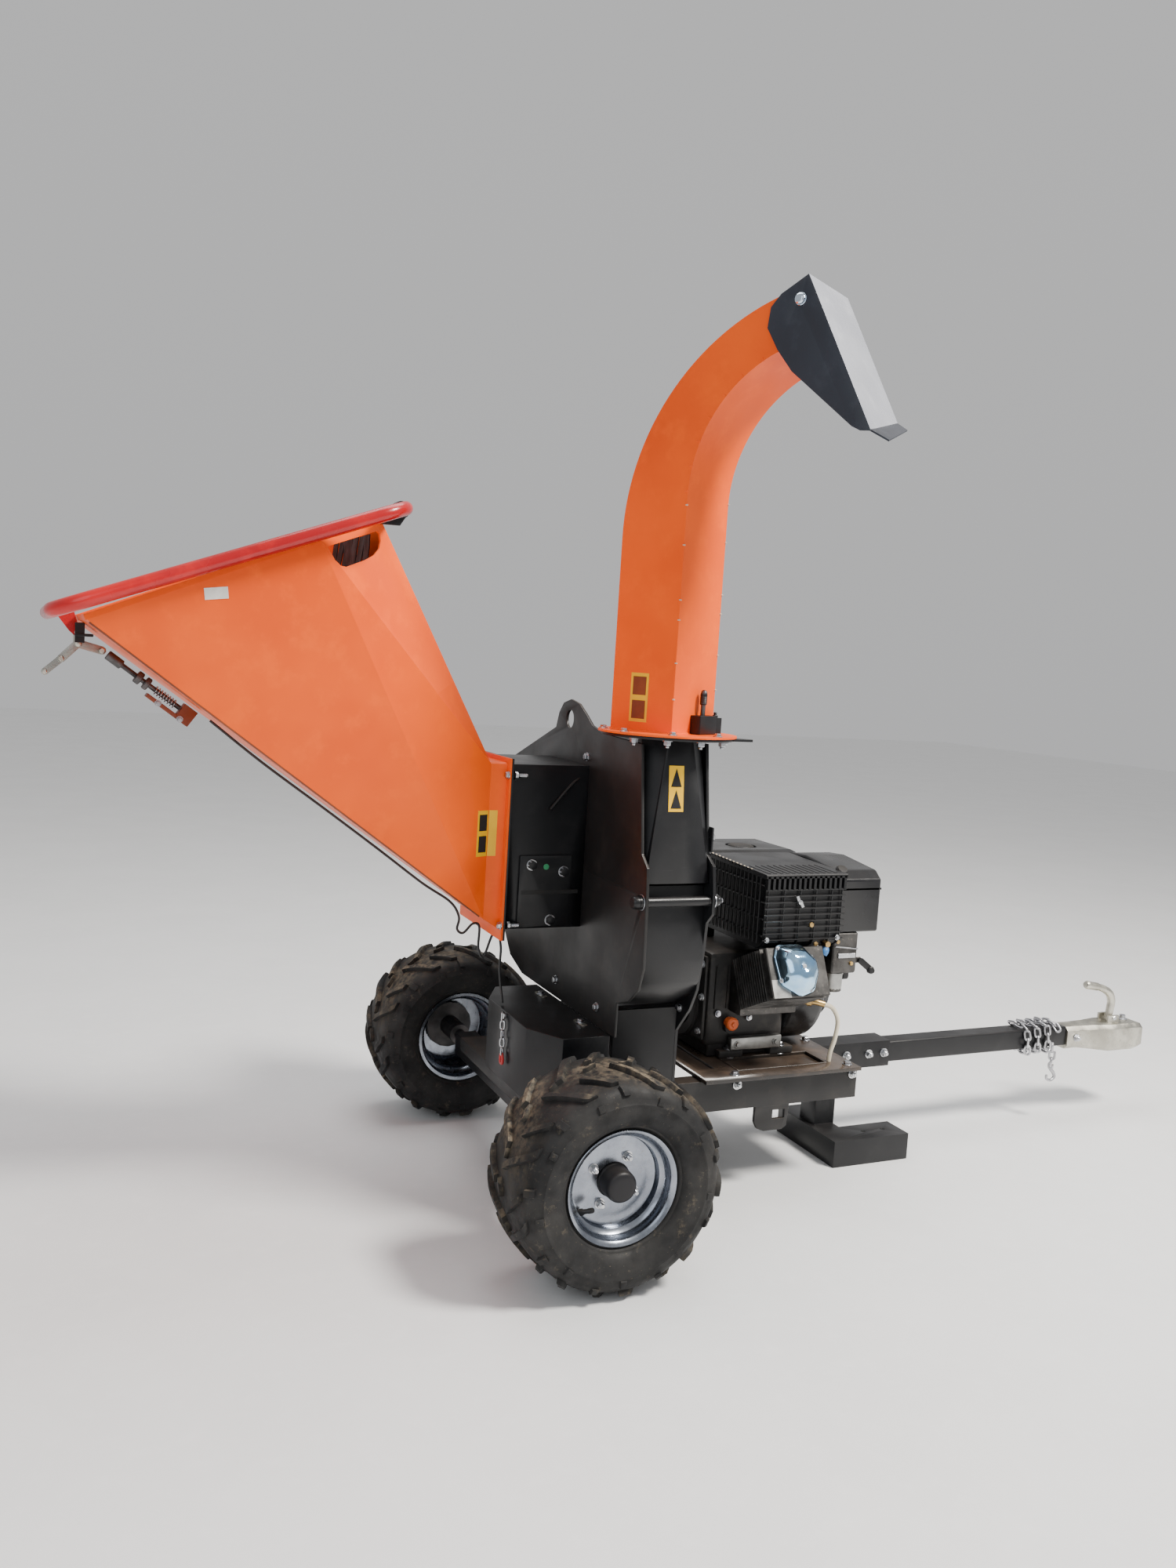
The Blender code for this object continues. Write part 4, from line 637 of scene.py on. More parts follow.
# deck rim: folded lip and raised stiffener round the openings
R = []
for x0, x1, y0, y1 in ((0.4350, 0.6550, -0.1750, -0.0980),):
    R += [box(x0 - 0.004, x1 + 0.004, y0 - 0.004, y0, 0.2580, 0.2668, 0.0006, 1), box(x0 - 0.004, x1 + 0.004, y1, y1 + 0.004, 0.2580, 0.2668, 0.0006, 1),
          box(x0 - 0.004, x0, y0, y1, 0.2580, 0.2668, 0.0006, 1), box(x1, x1 + 0.004, y0, y1, 0.2580, 0.2668, 0.0006, 1)]
R += [box(0.4352, 0.6548, -0.1748, -0.0982, 0.2580, 0.2600, 0.0004, 1), box(0.3502, 0.3898, -0.1498, 0.1498, 0.2580, 0.2600, 0.0004, 1)]
put("deck_opening_lip", join(*R), BLACK_DECK, "chassis", smooth=30)
# slotted mounts on the base box, each with its bolt, and bolts through the plate
slots, sb = [], []
for c in ((0.0480, 0.0130), (0.0480, -0.1960)):
    pts = []
    for k in range(16):
        a = 2 * math.pi * k / 16
        pts.append((c[0] + 0.0075 * math.cos(a), c[1] + math.copysign(0.016, math.sin(a) + 1e-9) + 0.0075 * math.sin(a)))
    slots.append(prism(pts, 'z', 0.4004, 0.4014))
    sb.append(hexbolt((c[0], c[1], 0.4012), (0, 0, 1), 0.0065, 0.005, washer=0.009, phase=0.3))
    sb.append(hexbolt((0.0720, c[1] - 0.020, 0.4370), (-1, 0, 0), 0.0070, 0.0055, washer=0.0095, phase=0.2))
put("base_box_slots", join(*slots), ZINC_OLD, "chassis")
put("base_box_bolts", join(*sb), ZINC, "chassis", smooth=30)
# feet of the stand: the two bolt holes drawn as flat black discs, painted shade for their shadowed wells
put("stand_hole_painted_shade", join(*[lathe([(0, 0.0600), (0.0058, 0.0600), (0.0058, 0.0604), (0, 0.0604)], (x, -0.098, 0), 'z', 24) for x in (0.835, 0.890)]), BLACK_PRINT_AND_PAINTED_SHADE, "stand")

# tow coupling
dress("coupler_body", ZINC_OLD, 0.0035, 3)
lev = spline([(1.683, 0, 0.2515), (1.686, 0, 0.272), (1.688, 0, 0.298), (1.676, 0, 0.320), (1.645, 0, 0.335), (1.602, 0, 0.344)], 60)
put("coupler_lever_look", join(tube(lev, lambda f: 0.0085 + 0.0022 * math.sin(math.pi * min(1, f * 1.1)) if f < 0.86 else 0.0105, 20),
                               lathe([(0, -0.004), (0.0060, -0.004), (0.0105, 0.0), (0.0110, 0.006), (0.0085, 0.011), (0, 0.013)], lev[-1], (lev[-1] - lev[-3]), 24)), ZINC_OLD, "coupler_latch", "coupler_lever")
cb = [nut_on_stud((1.545, s * 0.0305, 0.215), (0, s, 0), 0.0080, 0.0065, 0.0045, 0.004, washer=0.010) for s in (-1, 1)]
cb += [hexbolt((1.683, s * 0.0192, 0.2555), (0, s, 0), 0.0060, 0.004) for s in (-1, 1)]
cb.append(lathe([(0, 0.2425), (0.0120, 0.2425), (0.0125, 0.2460), (0.0080, 0.2485), (0.0080, 0.2560), (0, 0.2575)], (1.735, 0, 0), 'z', 24))
put("coupler_fasteners", join(*cb), ZINC, "chassis", smooth=30)


def link(c, d, n, L=0.030, W=0.019, r=0.0030):
    """One chain link: an oval of round bar, long axis d, flat across n."""
    d, n = Vector(d).normalized(), Vector(n).normalized()
    n = (n - d * n.dot(d)).normalized()
    w = d.cross(n)
    c = Vector(c)
    a, R_ = (L - W) / 2, W / 2 - r
    pts = []
    for k in range(20):
        t = 2 * math.pi * k / 20
        pts.append(c + d * (math.copysign(a, math.cos(t)) if abs(math.cos(t)) > 1e-6 else 0) + d * R_ * math.cos(t) + w * R_ * math.sin(t))
    return tube(pts, r, 8, closed=True)


def chain_along(pts, step=0.0205, r=0.0030, L=0.030, W=0.019, twist=0.0):
    out, acc, k = [], 0.0, 0
    dense = spline(pts, 400)
    total = length_of(dense)
    n = int(total / step)
    j, run = 0, 0.0
    for i in range(n + 1):
        target = i * total / n
        while j < len(dense) - 2 and run + (dense[j + 1] - dense[j]).length < target:
            run += (dense[j + 1] - dense[j]).length
            j += 1
        d = (dense[j + 1] - dense[j]).normalized()
        ref = Vector((1, 0, 0)) if abs(d.x) < 0.8 else Vector((0, 1, 0))
        s1 = (ref - d * ref.dot(d)).normalized()
        s2 = d.cross(s1)
        ang = math.pi / 2 * (i % 2) + math.pi / 4 + twist
        out.append(link(dense[j], d, s1 * math.cos(ang) + s2 * math.sin(ang), L, W, r))
    return out


# chain wrapped round the drawbar, hook hanging from it
wrap = []
turns, x0c, x1c = 3.2, 1.366, 1.474
for i in range(97):
    t = i / 96
    a = 2 * math.pi * turns * t + 1.2
    # rounded square path round the bar
    ca, sa = math.cos(a), math.sin(a)
    k = 0.0355 / max(abs(ca), abs(sa)) * (0.86 + 0.14 * abs(abs(ca) - abs(sa)))
    wrap.append((x0c + (x1c - x0c) * t, k * ca, 0.220 + k * sa))
hookchain = [(1.462, -0.034, 0.196), (1.463, -0.034, 0.178), (1.463, -0.033, 0.156)]
links = chain_along(wrap, 0.0200) + chain_along(hookchain, 0.0195)
hk = spline([(1.463, -0.033, 0.150), (1.463, -0.033, 0.140), (1.474, -0.033, 0.128), (1.478, -0.033, 0.116), (1.466, -0.033, 0.109), (1.453, -0.033, 0.114), (1.452, -0.033, 0.124)], 40)
hook = tube(hk, lambda f: 0.0048 - 0.0016 * f, 14)
put("safety_chain_look", join(*links, hook, link((1.463, -0.033, 0.147), (0, 0, 1), (1, 0, 0), 0.022, 0.018, 0.0034)), GALV, "chassis", "safety_chain", smooth=50)
# hanging chain with its red hook
hc = [(-0.0775, -0.0952, 0.392), (-0.0778, -0.0975, 0.368), (-0.0780, -0.1000, 0.344), (-0.0780, -0.1020, 0.322)]
hl = chain_along(hc, 0.0150, 0.0020, 0.0210, 0.0130)
snap = spline([(-0.0785, -0.1030, 0.318), (-0.0785, -0.1090, 0.310), (-0.0785, -0.1085, 0.300), (-0.0785, -0.1020, 0.2975), (-0.0785, -0.0965, 0.302), (-0.0785, -0.0970, 0.312), (-0.0785, -0.1010, 0.318)], 30)
put("hanging_chain_look", join(*hl, lathe([(0, -0.003), (0.0055, -0.003), (0.0060, 0), (0.0045, 0.004), (0, 0.005)], (-0.0740, -0.0952, 0.393), 'x', 20)), ZINC, "chassis", "hanging_chain", smooth=50)
put("hanging_hook", tube(snap, 0.0030, 10), RED_PL, "chassis")

# ------------------------------------------------------------------ cutter housing
for n_, m_, b_ in (("housing_front_plate", BLACK_DUSTY, 0.0010), ("housing_rear_plate", BLACK, 0.0010), ("scroll_band", BLACK, 0.0008), ("discharge_duct", BLACK, 0.0012),
                   ("index_plate", BLACK, 0.0006), ("infeed_throat", BLACK, 0.0012), ("bed_knife", STEEL, 0.0005), ("cutter_disc", STEEL, 0.0008),
                   ("belt_guard", BLACK, 0.0015), ("bearing_housing", IRON, 0.0010), ("cutter_knife_a", STEEL, 0.0004), ("cutter_knife_b", STEEL, 0.0004)):
    dress(n_, m_, b_, 2)
keep("main_shaft", STEEL)
keep("driven_pulley", STEEL)
keep("crank_pulley", STEEL)
keep("drive_belt", BELT)
tie = [(0, 0.052), (0.0095, 0.052), (0.0110, 0.0535), (0.0125, 0.0570), (0.0125, 0.0650), (0.0138, 0.0650), (0.0138, 0.0717), (0.0064, 0.0717), (0.0064, 0.0783), (0.0102, 0.0783), (0.0104, 0.0830), (0.0095, 0.0836), (0.0095, 0.2090),
       (0.0104, 0.2096), (0.0104, 0.2137), (0.0064, 0.2137), (0.0064, 0.2203), (0.0138, 0.2203), (0.0138, 0.2220), (0.0125, 0.2260), (0.0110, 0.2320), (0.0060, 0.2380), (0.0, 0.2385)]
put("tie_bolt_look", lathe(tie, (0, -0.379, 0.679), 'x', 32), BLACK, "chassis", "tie_bolt", smooth=30)
put("tie_bolt_ends", join(hexbolt((0.0720, -0.379, 0.679), (-1, 0, 0), 0.0125, 0.009, washer=0.0150), nut_on_stud((0.2200, -0.379, 0.679), (1, 0, 0), 0.0120, 0.010, 0.0060, 0.008, washer=0.0150)), ZINC, "chassis", smooth=30)
hb = []
for x, z in ((-0.043, 0.704), (0.026, 0.690), (0.002, 0.592)):
    hb.append(hexbolt((x, -0.1180, z), (0, -1, 0), 0.0088, 0.0068, washer=0.0112, phase=x * 60))
for y, z in ((-0.122, 0.882), (0.122, 0.882), (-0.122, 0.585), (0.122, 0.585)):
    hb.append(nut_on_stud((-0.0917, y, z), (1, 0, 0), 0.0070, 0.0060, 0.0040, 0.018, washer=0.0085))
    hb.append(hexbolt((-0.1040, y, z), (-1, 0, 0), 0.0070, 0.0050, washer=0.0085))
for y, z in ((-0.118, 0.900), (-0.3536, 0.4696), (-0.3400, 0.520)):
    if z > 0.8:
        hb.append(hexbolt((0.0720, y + 0.02, z + 0.02), (-1, 0, 0), 0.0070, 0.0055, washer=0.0090))
for y, z in ((-0.300, 0.440), (-0.262, 0.330)):
    hb.append(hexbolt((0.2140, y + 0.006, z + 0.010), (-1, 0, 0), 0.0072, 0.0055, washer=0.0095))
put("housing_bolts", join(*hb), ZINC, "chassis", smooth=30)
put("paint_mark", lathe([(0, -0.1181), (0.0060, -0.1181), (0.0055, -0.1190), (0, -0.1192)], (-0.012, 0, 0.700), 'y', 16), GREEN, "chassis")
# small tab with its bolt on the rear plate's edge
tab = cut(box(0.2203, 0.2240, -0.3620, -0.3300, 0.7680, 0.8150, 0.0008, 1), [lathe([(0, 0.20), (0.004, 0.20), (0.004, 0.24), (0, 0.24)], (0, -0.349, 0.795), 'x', 16)])
put("rear_tab", tab, BLACK, "chassis", bevel=0.0)
put("rear_tab_bolt", hexbolt((0.2240, -0.349, 0.795), (1, 0, 0), 0.0075, 0.006, washer=0.010), ZINC, "chassis")
# knife cover plate edge and latch on the throat
put("throat_stay", join(box(-0.0630, 0.0600, -0.1185, -0.1172, 0.6450, 0.6530, 0.0003, 1), tube(spline([(0.064, -0.106, 0.888), (0.030, -0.114, 0.860), (-0.010, -0.1175, 0.815)], 20), 0.0032, 10)), BLACK_DUSTY, "chassis")

# stickers without lettering
put("sticker_duct", loft([[(0.122, y - o, z) if k in (0, 3) else (0.153, y - o, z) for k, (y, z) in enumerate(((-0.3641, 0.845), (-0.3641, 0.845), (-0.3563, 0.930), (-0.3563, 0.930)))] for o in (0.0, 0.0007)]), YELLOW, "chassis", smooth=None)

put("sticker_duct_marks", join(*[loft([[(0.1265, y0 - o, z0), (0.1485, y0 - o, z0), (0.1375, y1 - o, z1)] for o in (0.0005, 0.0011)]) for y0, z0, y1, z1 in ((-0.3636, 0.851, -0.3604, 0.885), (-0.3599, 0.891, -0.3567, 0.925))]), BLACK_PRINT_AND_PAINTED_SHADE, "chassis", smooth=None)

# ------------------------------------------------------------------ hopper
dress("hopper", ORANGE, 0.0012, 3, 20)
MOUTH = [Vector(p) for p in ((-0.881, -0.280, 1.132), (-0.520, -0.280, 1.285), (-0.387, -0.160, 1.338))]
NECK = [Vector(p) for p in ((-0.137, -0.112, 0.5975), (-0.137, -0.112, 0.903), (-0.137, -0.104, 0.906))]


def panel(s, t):
    return MOUTH[0].lerp(MOUTH[1], s).lerp(NECK[0].lerp(NECK[1], s), t)


def decal(corners, lift=0.0006):
    c = [Vector(p) for p in corners]
    n = (c[1] - c[0]).cross(c[3] - c[0]).normalized()
    if n.y > 0:
        n = -n
    return loft([[p + n * 0.0001 for p in c], [p + n * lift for p in c]])


from mathutils.bvhtree import BVHTree
_hm = NODES["hopper"]
HTREE = BVHTree.FromPolygons([_hm.matrix_world @ v.co for v in _hm.data.vertices], [tuple(p.vertices) for p in _hm.data.polygons])


def surf(x, z, lift=0.0):
    """Point on the hopper's near panel with this x and z, raised outwards by lift."""
    hit, n, _, _ = HTREE.ray_cast(A((x, -0.6, z)), Vector((0, 1, 0)))
    if n.y > 0:
        n = -n
    return hit - A((0, 0, 0)) + n * lift


def patch(cs, lift=0.0008):
    return loft([[surf(x, z, 0.00005) for x, z in cs], [surf(x, z, lift) for x, z in cs]])


def tilted(cx, cz, w, h, a):
    c, q = math.cos(a), math.sin(a)
    return [(cx + u * c - v * q, cz + u * q + v * c) for u, v in ((-w / 2, -h / 2), (w / 2, -h / 2), (w / 2, h / 2), (-w / 2, h / 2))]


put("sticker_mouth", patch(tilted(-0.6835, 1.1850, 0.0380, 0.0190, 0.14)), WHITE, "chassis", smooth=None)
put("sticker_neck", join(patch([(-0.1630, 0.722), (-0.1385, 0.722), (-0.1385, 0.812), (-0.1630, 0.812)]),
                         decal([(-0.1365, -0.112, 0.722), (-0.1190, -0.112, 0.722), (-0.1190, -0.112, 0.812), (-0.1365, -0.112, 0.812)])), YELLOW, "chassis", smooth=None)
put("sticker_neck_marks", join(patch([(-0.1590, 0.7300), (-0.1410, 0.7300), (-0.1410, 0.7620), (-0.1590, 0.7620)], 0.0011), patch([(-0.1590, 0.7720), (-0.1410, 0.7720), (-0.1410, 0.8040), (-0.1590, 0.8040)], 0.0011)), BLACK_PRINT_AND_PAINTED_SHADE, "chassis", smooth=None)
# folded hem round the mouth, and a thin flange strip along the bottom edge whose dark brown is painted shade of the
# shadowed bottom panel
hem = []
rim_ring = MOUTH + [Vector((p.x, -p.y, p.z)) for p in reversed(MOUTH)]
rim_up = Vector((-(MOUTH[2].z - MOUTH[0].z), 0, MOUTH[2].x - MOUTH[0].x)).normalized()
mid = sum(rim_ring, Vector()) / 6
for i in range(6):
    a, b = rim_ring[i], rim_ring[(i + 1) % 6]
    ia, ib = a + (mid - a).normalized() * 0.004, b + (mid - b).normalized() * 0.004
    hem.append(loft([[p - rim_up * 0.004 for p in (a, b, ib, ia)], [p + rim_up * 0.0050 for p in (a, b, ib, ia)], [p + rim_up * 0.0058 for p in (a.lerp(ia, 0.3), b.lerp(ib, 0.3), ib.lerp(b, 0.3), ia.lerp(a, 0.3))]]))
bot = []
for y0, y1 in ((-0.281, -0.262),):
    a0, a1 = MOUTH[0], NECK[0]
    n_ = (a1 - a0).normalized()
    dn = Vector((-n_.z, 0, n_.x))
    if dn.z > 0:
        dn = -dn
    bot.append(loft([[a0 + n_ * 0.01 + dn * 0.0030, a1 - n_ * 0.01 + dn * 0.0030, a1 - n_ * 0.01 + Vector((0, 0.012, 0)) + dn * 0.0030, a0 + n_ * 0.01 + Vector((0, 0.012, 0)) + dn * 0.0030],
                     [a0 + n_ * 0.01 + dn * 0.0002, a1 - n_ * 0.01 + dn * 0.0002, a1 - n_ * 0.01 + Vector((0, 0.012, 0)) + dn * 0.0002, a0 + n_ * 0.01 + Vector((0, 0.012, 0)) + dn * 0.0002]]))
# dark brown strip under the near bottom edge: painted shade
put("hopper_bottom_painted_shade", join(*bot), ORANGE_BR, "chassis")
put("hopper_hem", join(*hem), ORANGE, "chassis")
gus = []
for sgn in (-1, 1):
    p0 = Vector((-0.3900, sgn * 0.120, 1.3330))
    plate = loft([[(-0.4080, y, 1.3270), (-0.3700, y, 1.3275), (-0.3595, y, 1.3440), (-0.3640, y, 1.3640), (-0.3780, y, 1.3655), (-0.3960, y, 1.3440)] for y in (sgn * 0.2200 - 0.0025, sgn * 0.2200 + 0.0025)])
    gus.append(plate)
    gus.append(tube([(-0.3700, sgn * 0.2200 - 0.010, 1.3545), (-0.3700, sgn * 0.2200 + 0.010, 1.3545)], 0.0150, 24))
put("bar_pivot_lugs", join(*gus), BLACK, "chassis")
put("mouth_bracket", join(box(-0.8860, -0.8560, -0.030, 0.030, 1.1010, 1.1060, 0.0008, 1), box(-0.8860, -0.8700, -0.026, -0.020, 1.0900, 1.1250, 0.0008, 1), box(-0.8860, -0.8700, 0.020, 0.026, 1.0900, 1.1250, 0.0008, 1)), BLACK, "chassis")
put("bar_gusset", loft([[(-0.9240, y, 1.1480), (-0.8930, y, 1.1620), (-0.8760, y, 1.1080), (-0.8860, y, 1.1020), (-0.8950, y, 1.1100)] for y in (-0.0035, 0.0035)]), RED, "stop_bar", bevel=0.0)

# rubber flaps inside the mouth
flaps = []
for k in range(6):
    y0 = -0.118 + 0.0394 * k
    rows = []
    for j in range(13):
        z = 1.262 - 0.4600 * j / 12
        w = 0.0025 * math.sin(2.1 * k + j * 0.55) * (j / 12)
        rows.append([(-0.3605 + w, y0 + 0.0006, z), (-0.3585 + w, y0 + 0.0006, z), (-0.3585 + w * 0.7, y0 + 0.0388, z), (-0.3605 + w * 0.7, y0 + 0.0388, z)])
    flaps.append(loft(rows))
curtain = put("feed_curtain_look", join(*flaps), rubber("m_curtain", base=(0.030, 0.018, 0.016), worn=(0.060, 0.040, 0.034)), "chassis", "feed_curtain")
put("curtain_clamp", join(box(-0.3655, -0.3612, -0.118, 0.118, 1.236, 1.258, 0.0008, 1), *[hexbolt((-0.3655, -0.098 + 0.049 * k, 1.247), (-1, 0, 0), 0.006, 0.0045, washer=0.008) for k in range(5)]), ZINC, "chassis")

rows_all = []
for k in range(7):
    y0 = -0.1400 + 0.0402 * k
    rows = []
    for j in range(7):
        z = 1.3150 - 0.1500 * j / 6
        x = -0.4030 - 0.012 * (j / 6) + 0.0020 * math.sin(1.7 * k + j)
        rows.append([(x, y0 + 0.0005, z), (x + 0.0020, y0 + 0.0005, z), (x + 0.0020, y0 + 0.0397, z), (x, y0 + 0.0397, z)])
    rows_all.append(loft(rows))
mouth_flaps = put("mouth_flaps", join(*rows_all), rubber("m_flaps", base=(0.016, 0.009, 0.008), worn=(0.040, 0.022, 0.018)), "chassis")

# stop bar: one smooth loop
BAR_X, BAR_Z, BHY, BR = (-0.9275, -0.3700), (1.1410, 1.3545), 0.305, 0.0125
LB = math.hypot(BAR_X[1] - BAR_X[0], BAR_Z[1] - BAR_Z[0])
rc, path = 0.060, []
for cu, cy, a0 in ((rc / LB, -BHY + rc, 270), (rc / LB, BHY - rc, 180), (1 - rc / LB, BHY - rc, 90), (1 - rc / LB, -BHY + rc, 0)):
    for k in range(13):
        a = math.radians(a0 - 7.5 * k)
        u = cu + rc / LB * math.cos(a)
        path.append((BAR_X[0] + (BAR_X[1] - BAR_X[0]) * u, cy + rc * math.sin(a), BAR_Z[0] + (BAR_Z[1] - BAR_Z[0]) * u))
    if a0 in (180, 0):
        yy = BHY if a0 == 180 else -BHY
        for u in (0.3, 0.4, 0.5, 0.6, 0.7) if a0 == 180 else (0.7, 0.6, 0.5, 0.4, 0.3):
            path.append((BAR_X[0] + (BAR_X[1] - BAR_X[0]) * u, yy, BAR_Z[0] + (BAR_Z[1] - BAR_Z[0]) * u))
put("safety_bar_look", tube(path, BR, 28, closed=True), RED, "stop_bar", "safety_bar", smooth=60)

# toggle links with rivets
dress("toggle_link", metal("m_link", (0.42, 0.42, 0.38), (0.26, 0.26, 0.24), (0.40, 0.55), 0.3, 260), 0.0008, 2)
riv = []
for x, z, r in ((-0.881, 1.108, 0.0052), (-0.880, 1.088, 0.0056), (-0.907, 1.060, 0.0052), (-0.933, 1.036, 0.0042), (-0.840, 1.078, 0.0052)):
    riv.append(lathe([(0, -0.0075), (r * 0.7, -0.0073), (r, -0.0058), (r * 1.05, -0.0045), (r * 1.05, 0.0060), (r, 0.0072), (0, 0.0082)], (x, 0, z), 'y', 24))
put("toggle_rivets", join(*riv), ZINC_OLD, "stop_linkage", smooth=40)
E2 = Vector((NECK[0].x - MOUTH[0].x, 0, NECK[0].z - MOUTH[0].z)).normalized()
A2 = Vector((-0.831, 0, 1.0715))
U2 = Vector((0, 1, 0))
rod_ax = (U2, E2.cross(U2), E2)
prof = [(0, 0.0), (0.0078, 0.0), (0.0088, 0.0010), (0.0088, 0.0290), (0.0080, 0.0302), (0.0050, 0.0310)]
z = 0.0320
while z < 0.0595:
    prof += [(0.0050, z), (0.0044, z + 0.0008)]
    z += 0.0016
prof += [(0.0048, 0.0604), (0.0045, 0.0610), (0.0045, 0.1545), (0.0035, 0.1550), (0, 0.1550)]
nuts = []
for a, b in ((0.0605, 0.0720), (0.0785, 0.0880)):
    nuts.append(lathe([(0, a), (0.0105, a), (0.0119, a + 0.0014), (0.0119, b - 0.0014), (0.0105, b), (0, b)], A2, rod_ax, 24))
    for k in range(24):
        an = 2 * math.pi * (k + 0.5) / 24
        d_ = U2 * math.cos(an) + rod_ax[1] * math.sin(an)
        nuts.append(tube([A2 + E2 * (a + 0.0016) + d_ * 0.0114, A2 + E2 * (b - 0.0016) + d_ * 0.0114], 0.0006, 6))
put("pull_rod_look", join(lathe(prof, A2, rod_ax, 28), *nuts), IRON, "stop_linkage", "pull_rod", smooth=35)
sp = [A2 + E2 * (0.1000 + 0.0450 * i / 200) + (U2 * math.cos(2 * math.pi * 8 * i / 200) + rod_ax[1] * math.sin(2 * math.pi * 8 * i / 200)) * 0.0072 for i in range(201)]
put("pull_spring", tube(sp, 0.0010, 8), STEEL, "stop_linkage", smooth=60)
dress("switch_bracket", ORANGE_BR, 0.0010, 2)
sw = []
N2 = Vector((-E2.z, 0, E2.x))
for d in (0.118, 0.165):
    sw.append(hexbolt(A2 + E2 * d - N2 * 0.0165 + Vector((0, -0.016, 0)), (0, -1, 0), 0.0045, 0.0035, washer=0.0062))
put("switch_screws", join(*sw), ZINC, "chassis")

# ------------------------------------------------------------------ discharge chute
def chute_rings(wall, extend, n=30):
    so, si, w = -0.081 + wall, 0.055 - wall, 0.0735 - wall
    st = [((so, 0.984 - extend), (si, 0.984 - extend))]
    for k in range(n + 1):
        f = k / n
        ao, ai = math.radians(180 + (102.2 - 180) * f), math.radians(180 + (106.3 - 180) * f)
        st.append(((0.339 + (0.420 - wall) * math.cos(ao), 1.345 + (0.420 - wall) * math.sin(ao)), (0.312 + (0.257 + wall) * math.cos(ai), 1.415 + (0.257 + wall) * math.sin(ai))))
    if extend:
        a, b = st[-1], st[-2]
        st.append(tuple((p[0] + (p[0] - q[0]) * 1.2, p[1] + (p[1] - q[1]) * 1.2) for p, q in zip(a, b)))
    return [[cw_(o[0], -w, o[1]), cw_(i[0], -w, i[1]), cw_(i[0], w, i[1]), cw_(o[0], w, o[1])] for o, i in st]


CC_ = (0.148, -0.290, 0)
across = (Vector((0, 0, 1)), Vector((math.cos(YAW), math.sin(YAW), 0)), Vector((-math.sin(YAW), math.cos(YAW), 0)))
bolt_c = cw_(0.254, 0, 1.735)
flange = lathe([(0.0, 0.984), (0.1309, 0.984), (0.1315, 0.9846), (0.1315, 0.9879), (0.1309, 0.9885), (0.0, 0.9885)], CC_, 'z', 96)
chute = cut(cut(loft(chute_rings(0, 0)), [flange], 'UNION'), [loft(chute_rings(0.0028, 0.02))])
put("chute_look", chute, ORANGE, "swivel_chute", "chute", bevel=0.0010, seg=3, limit=40)
# weld beads where the chute's sheets and its flange meet
beads = []


def bead(p, q, r=0.0020, seed=0):
    p, q = Vector(p), Vector(q)
    n = max(3, int((q - p).length / 0.0030))
    return tube([p.lerp(q, i / n) for i in range(n + 1)], lambda f: r * (0.86 + 0.16 * math.sin(f * n * 1.6 + seed)), 8)


w_ = 0.0735
for a, b in (((-0.081, -w_), (0.055, -w_)), ((0.055, -w_), (0.055, w_)), ((0.055, w_), (-0.081, w_)), ((-0.081, w_), (-0.081, -w_))):
    beads.append(bead(cw_(a[0], a[1], 0.9890), cw_(b[0], b[1], 0.9890), 0.0026, a[0] * 90))
for o, i in [(r[0], r[1]) for r in chute_rings(0, 0)[2:-1:4]]:
    d = (Vector(i) - Vector(o)).normalized()
    beads.append(bead(Vector(i) - d * 0.006 - T_DIR * 0.0002, Vector(i) + d * 0.0010, 0.0014, o[2]))
put("chute_welds", join(*beads), ORANGE, "swivel_chute")
dots = []
for z in (1.052, 1.118, 1.196, 1.232, 1.330, 1.401):
    for t in (-0.0735, 0.0735):
        dots.append(lathe([(0, -0.0016), (0.0026, -0.0010), (0.0030, 0.0002), (0.0020, 0.0012), (0, 0.0016)], cw_(0.0550, t, z + (0.02 if t > 0 else 0)), 'z', 12))
put("chute_weld_dots", join(*dots), TAN_WELD_AND_PAINTED_HIGHLIGHT, "swivel_chute")
fb = []
for k in range(8):
    a = math.radians(22 + 45 * k)
    p = (0.148 + 0.1215 * math.cos(a), -0.290 + 0.1215 * math.sin(a))
    if k == 7:
        continue
    fb.append(hexbolt((*p, 0.9886), (0, 0, 1), 0.0062, 0.0045, washer=0.0085, phase=k))
put("chute_flange_bolts", join(*fb), ZINC, "swivel_chute", smooth=30)
ub = [nut_on_stud((0.148 + 0.112 * math.cos(a), -0.290 + 0.112 * math.sin(a), 0.9784), (0, 0, -1), 0.0072, 0.0070, 0.0040, 0.0035, washer=0.0095, phase=a) for a in [math.radians(-150 + 33 * k) for k in range(5)]]
put("index_plate_nuts", join(*ub), ZINC, "chassis", smooth=30)
put("sticker_chute", decal([cw_(-0.0400, -0.0735, 1.0060), cw_(-0.0010, -0.0735, 1.0060), cw_(-0.0010, -0.0735, 1.0965), cw_(-0.0400, -0.0735, 1.0965)], 0.0006), YELLOW, "swivel_chute", smooth=None)

put("sticker_chute_marks", join(decal([cw_(s, -0.0735, z) for s, z in ((-0.0350, 1.0120), (-0.0060, 1.0120), (-0.0060, 1.0460), (-0.0350, 1.0460))], 0.0009), decal([cw_(s, -0.0735, z) for s, z in ((-0.0350, 1.0560), (-0.0060, 1.0560), (-0.0060, 1.0900), (-0.0350, 1.0900))], 0.0009)), ORANGE_BR, "swivel_chute", smooth=None)
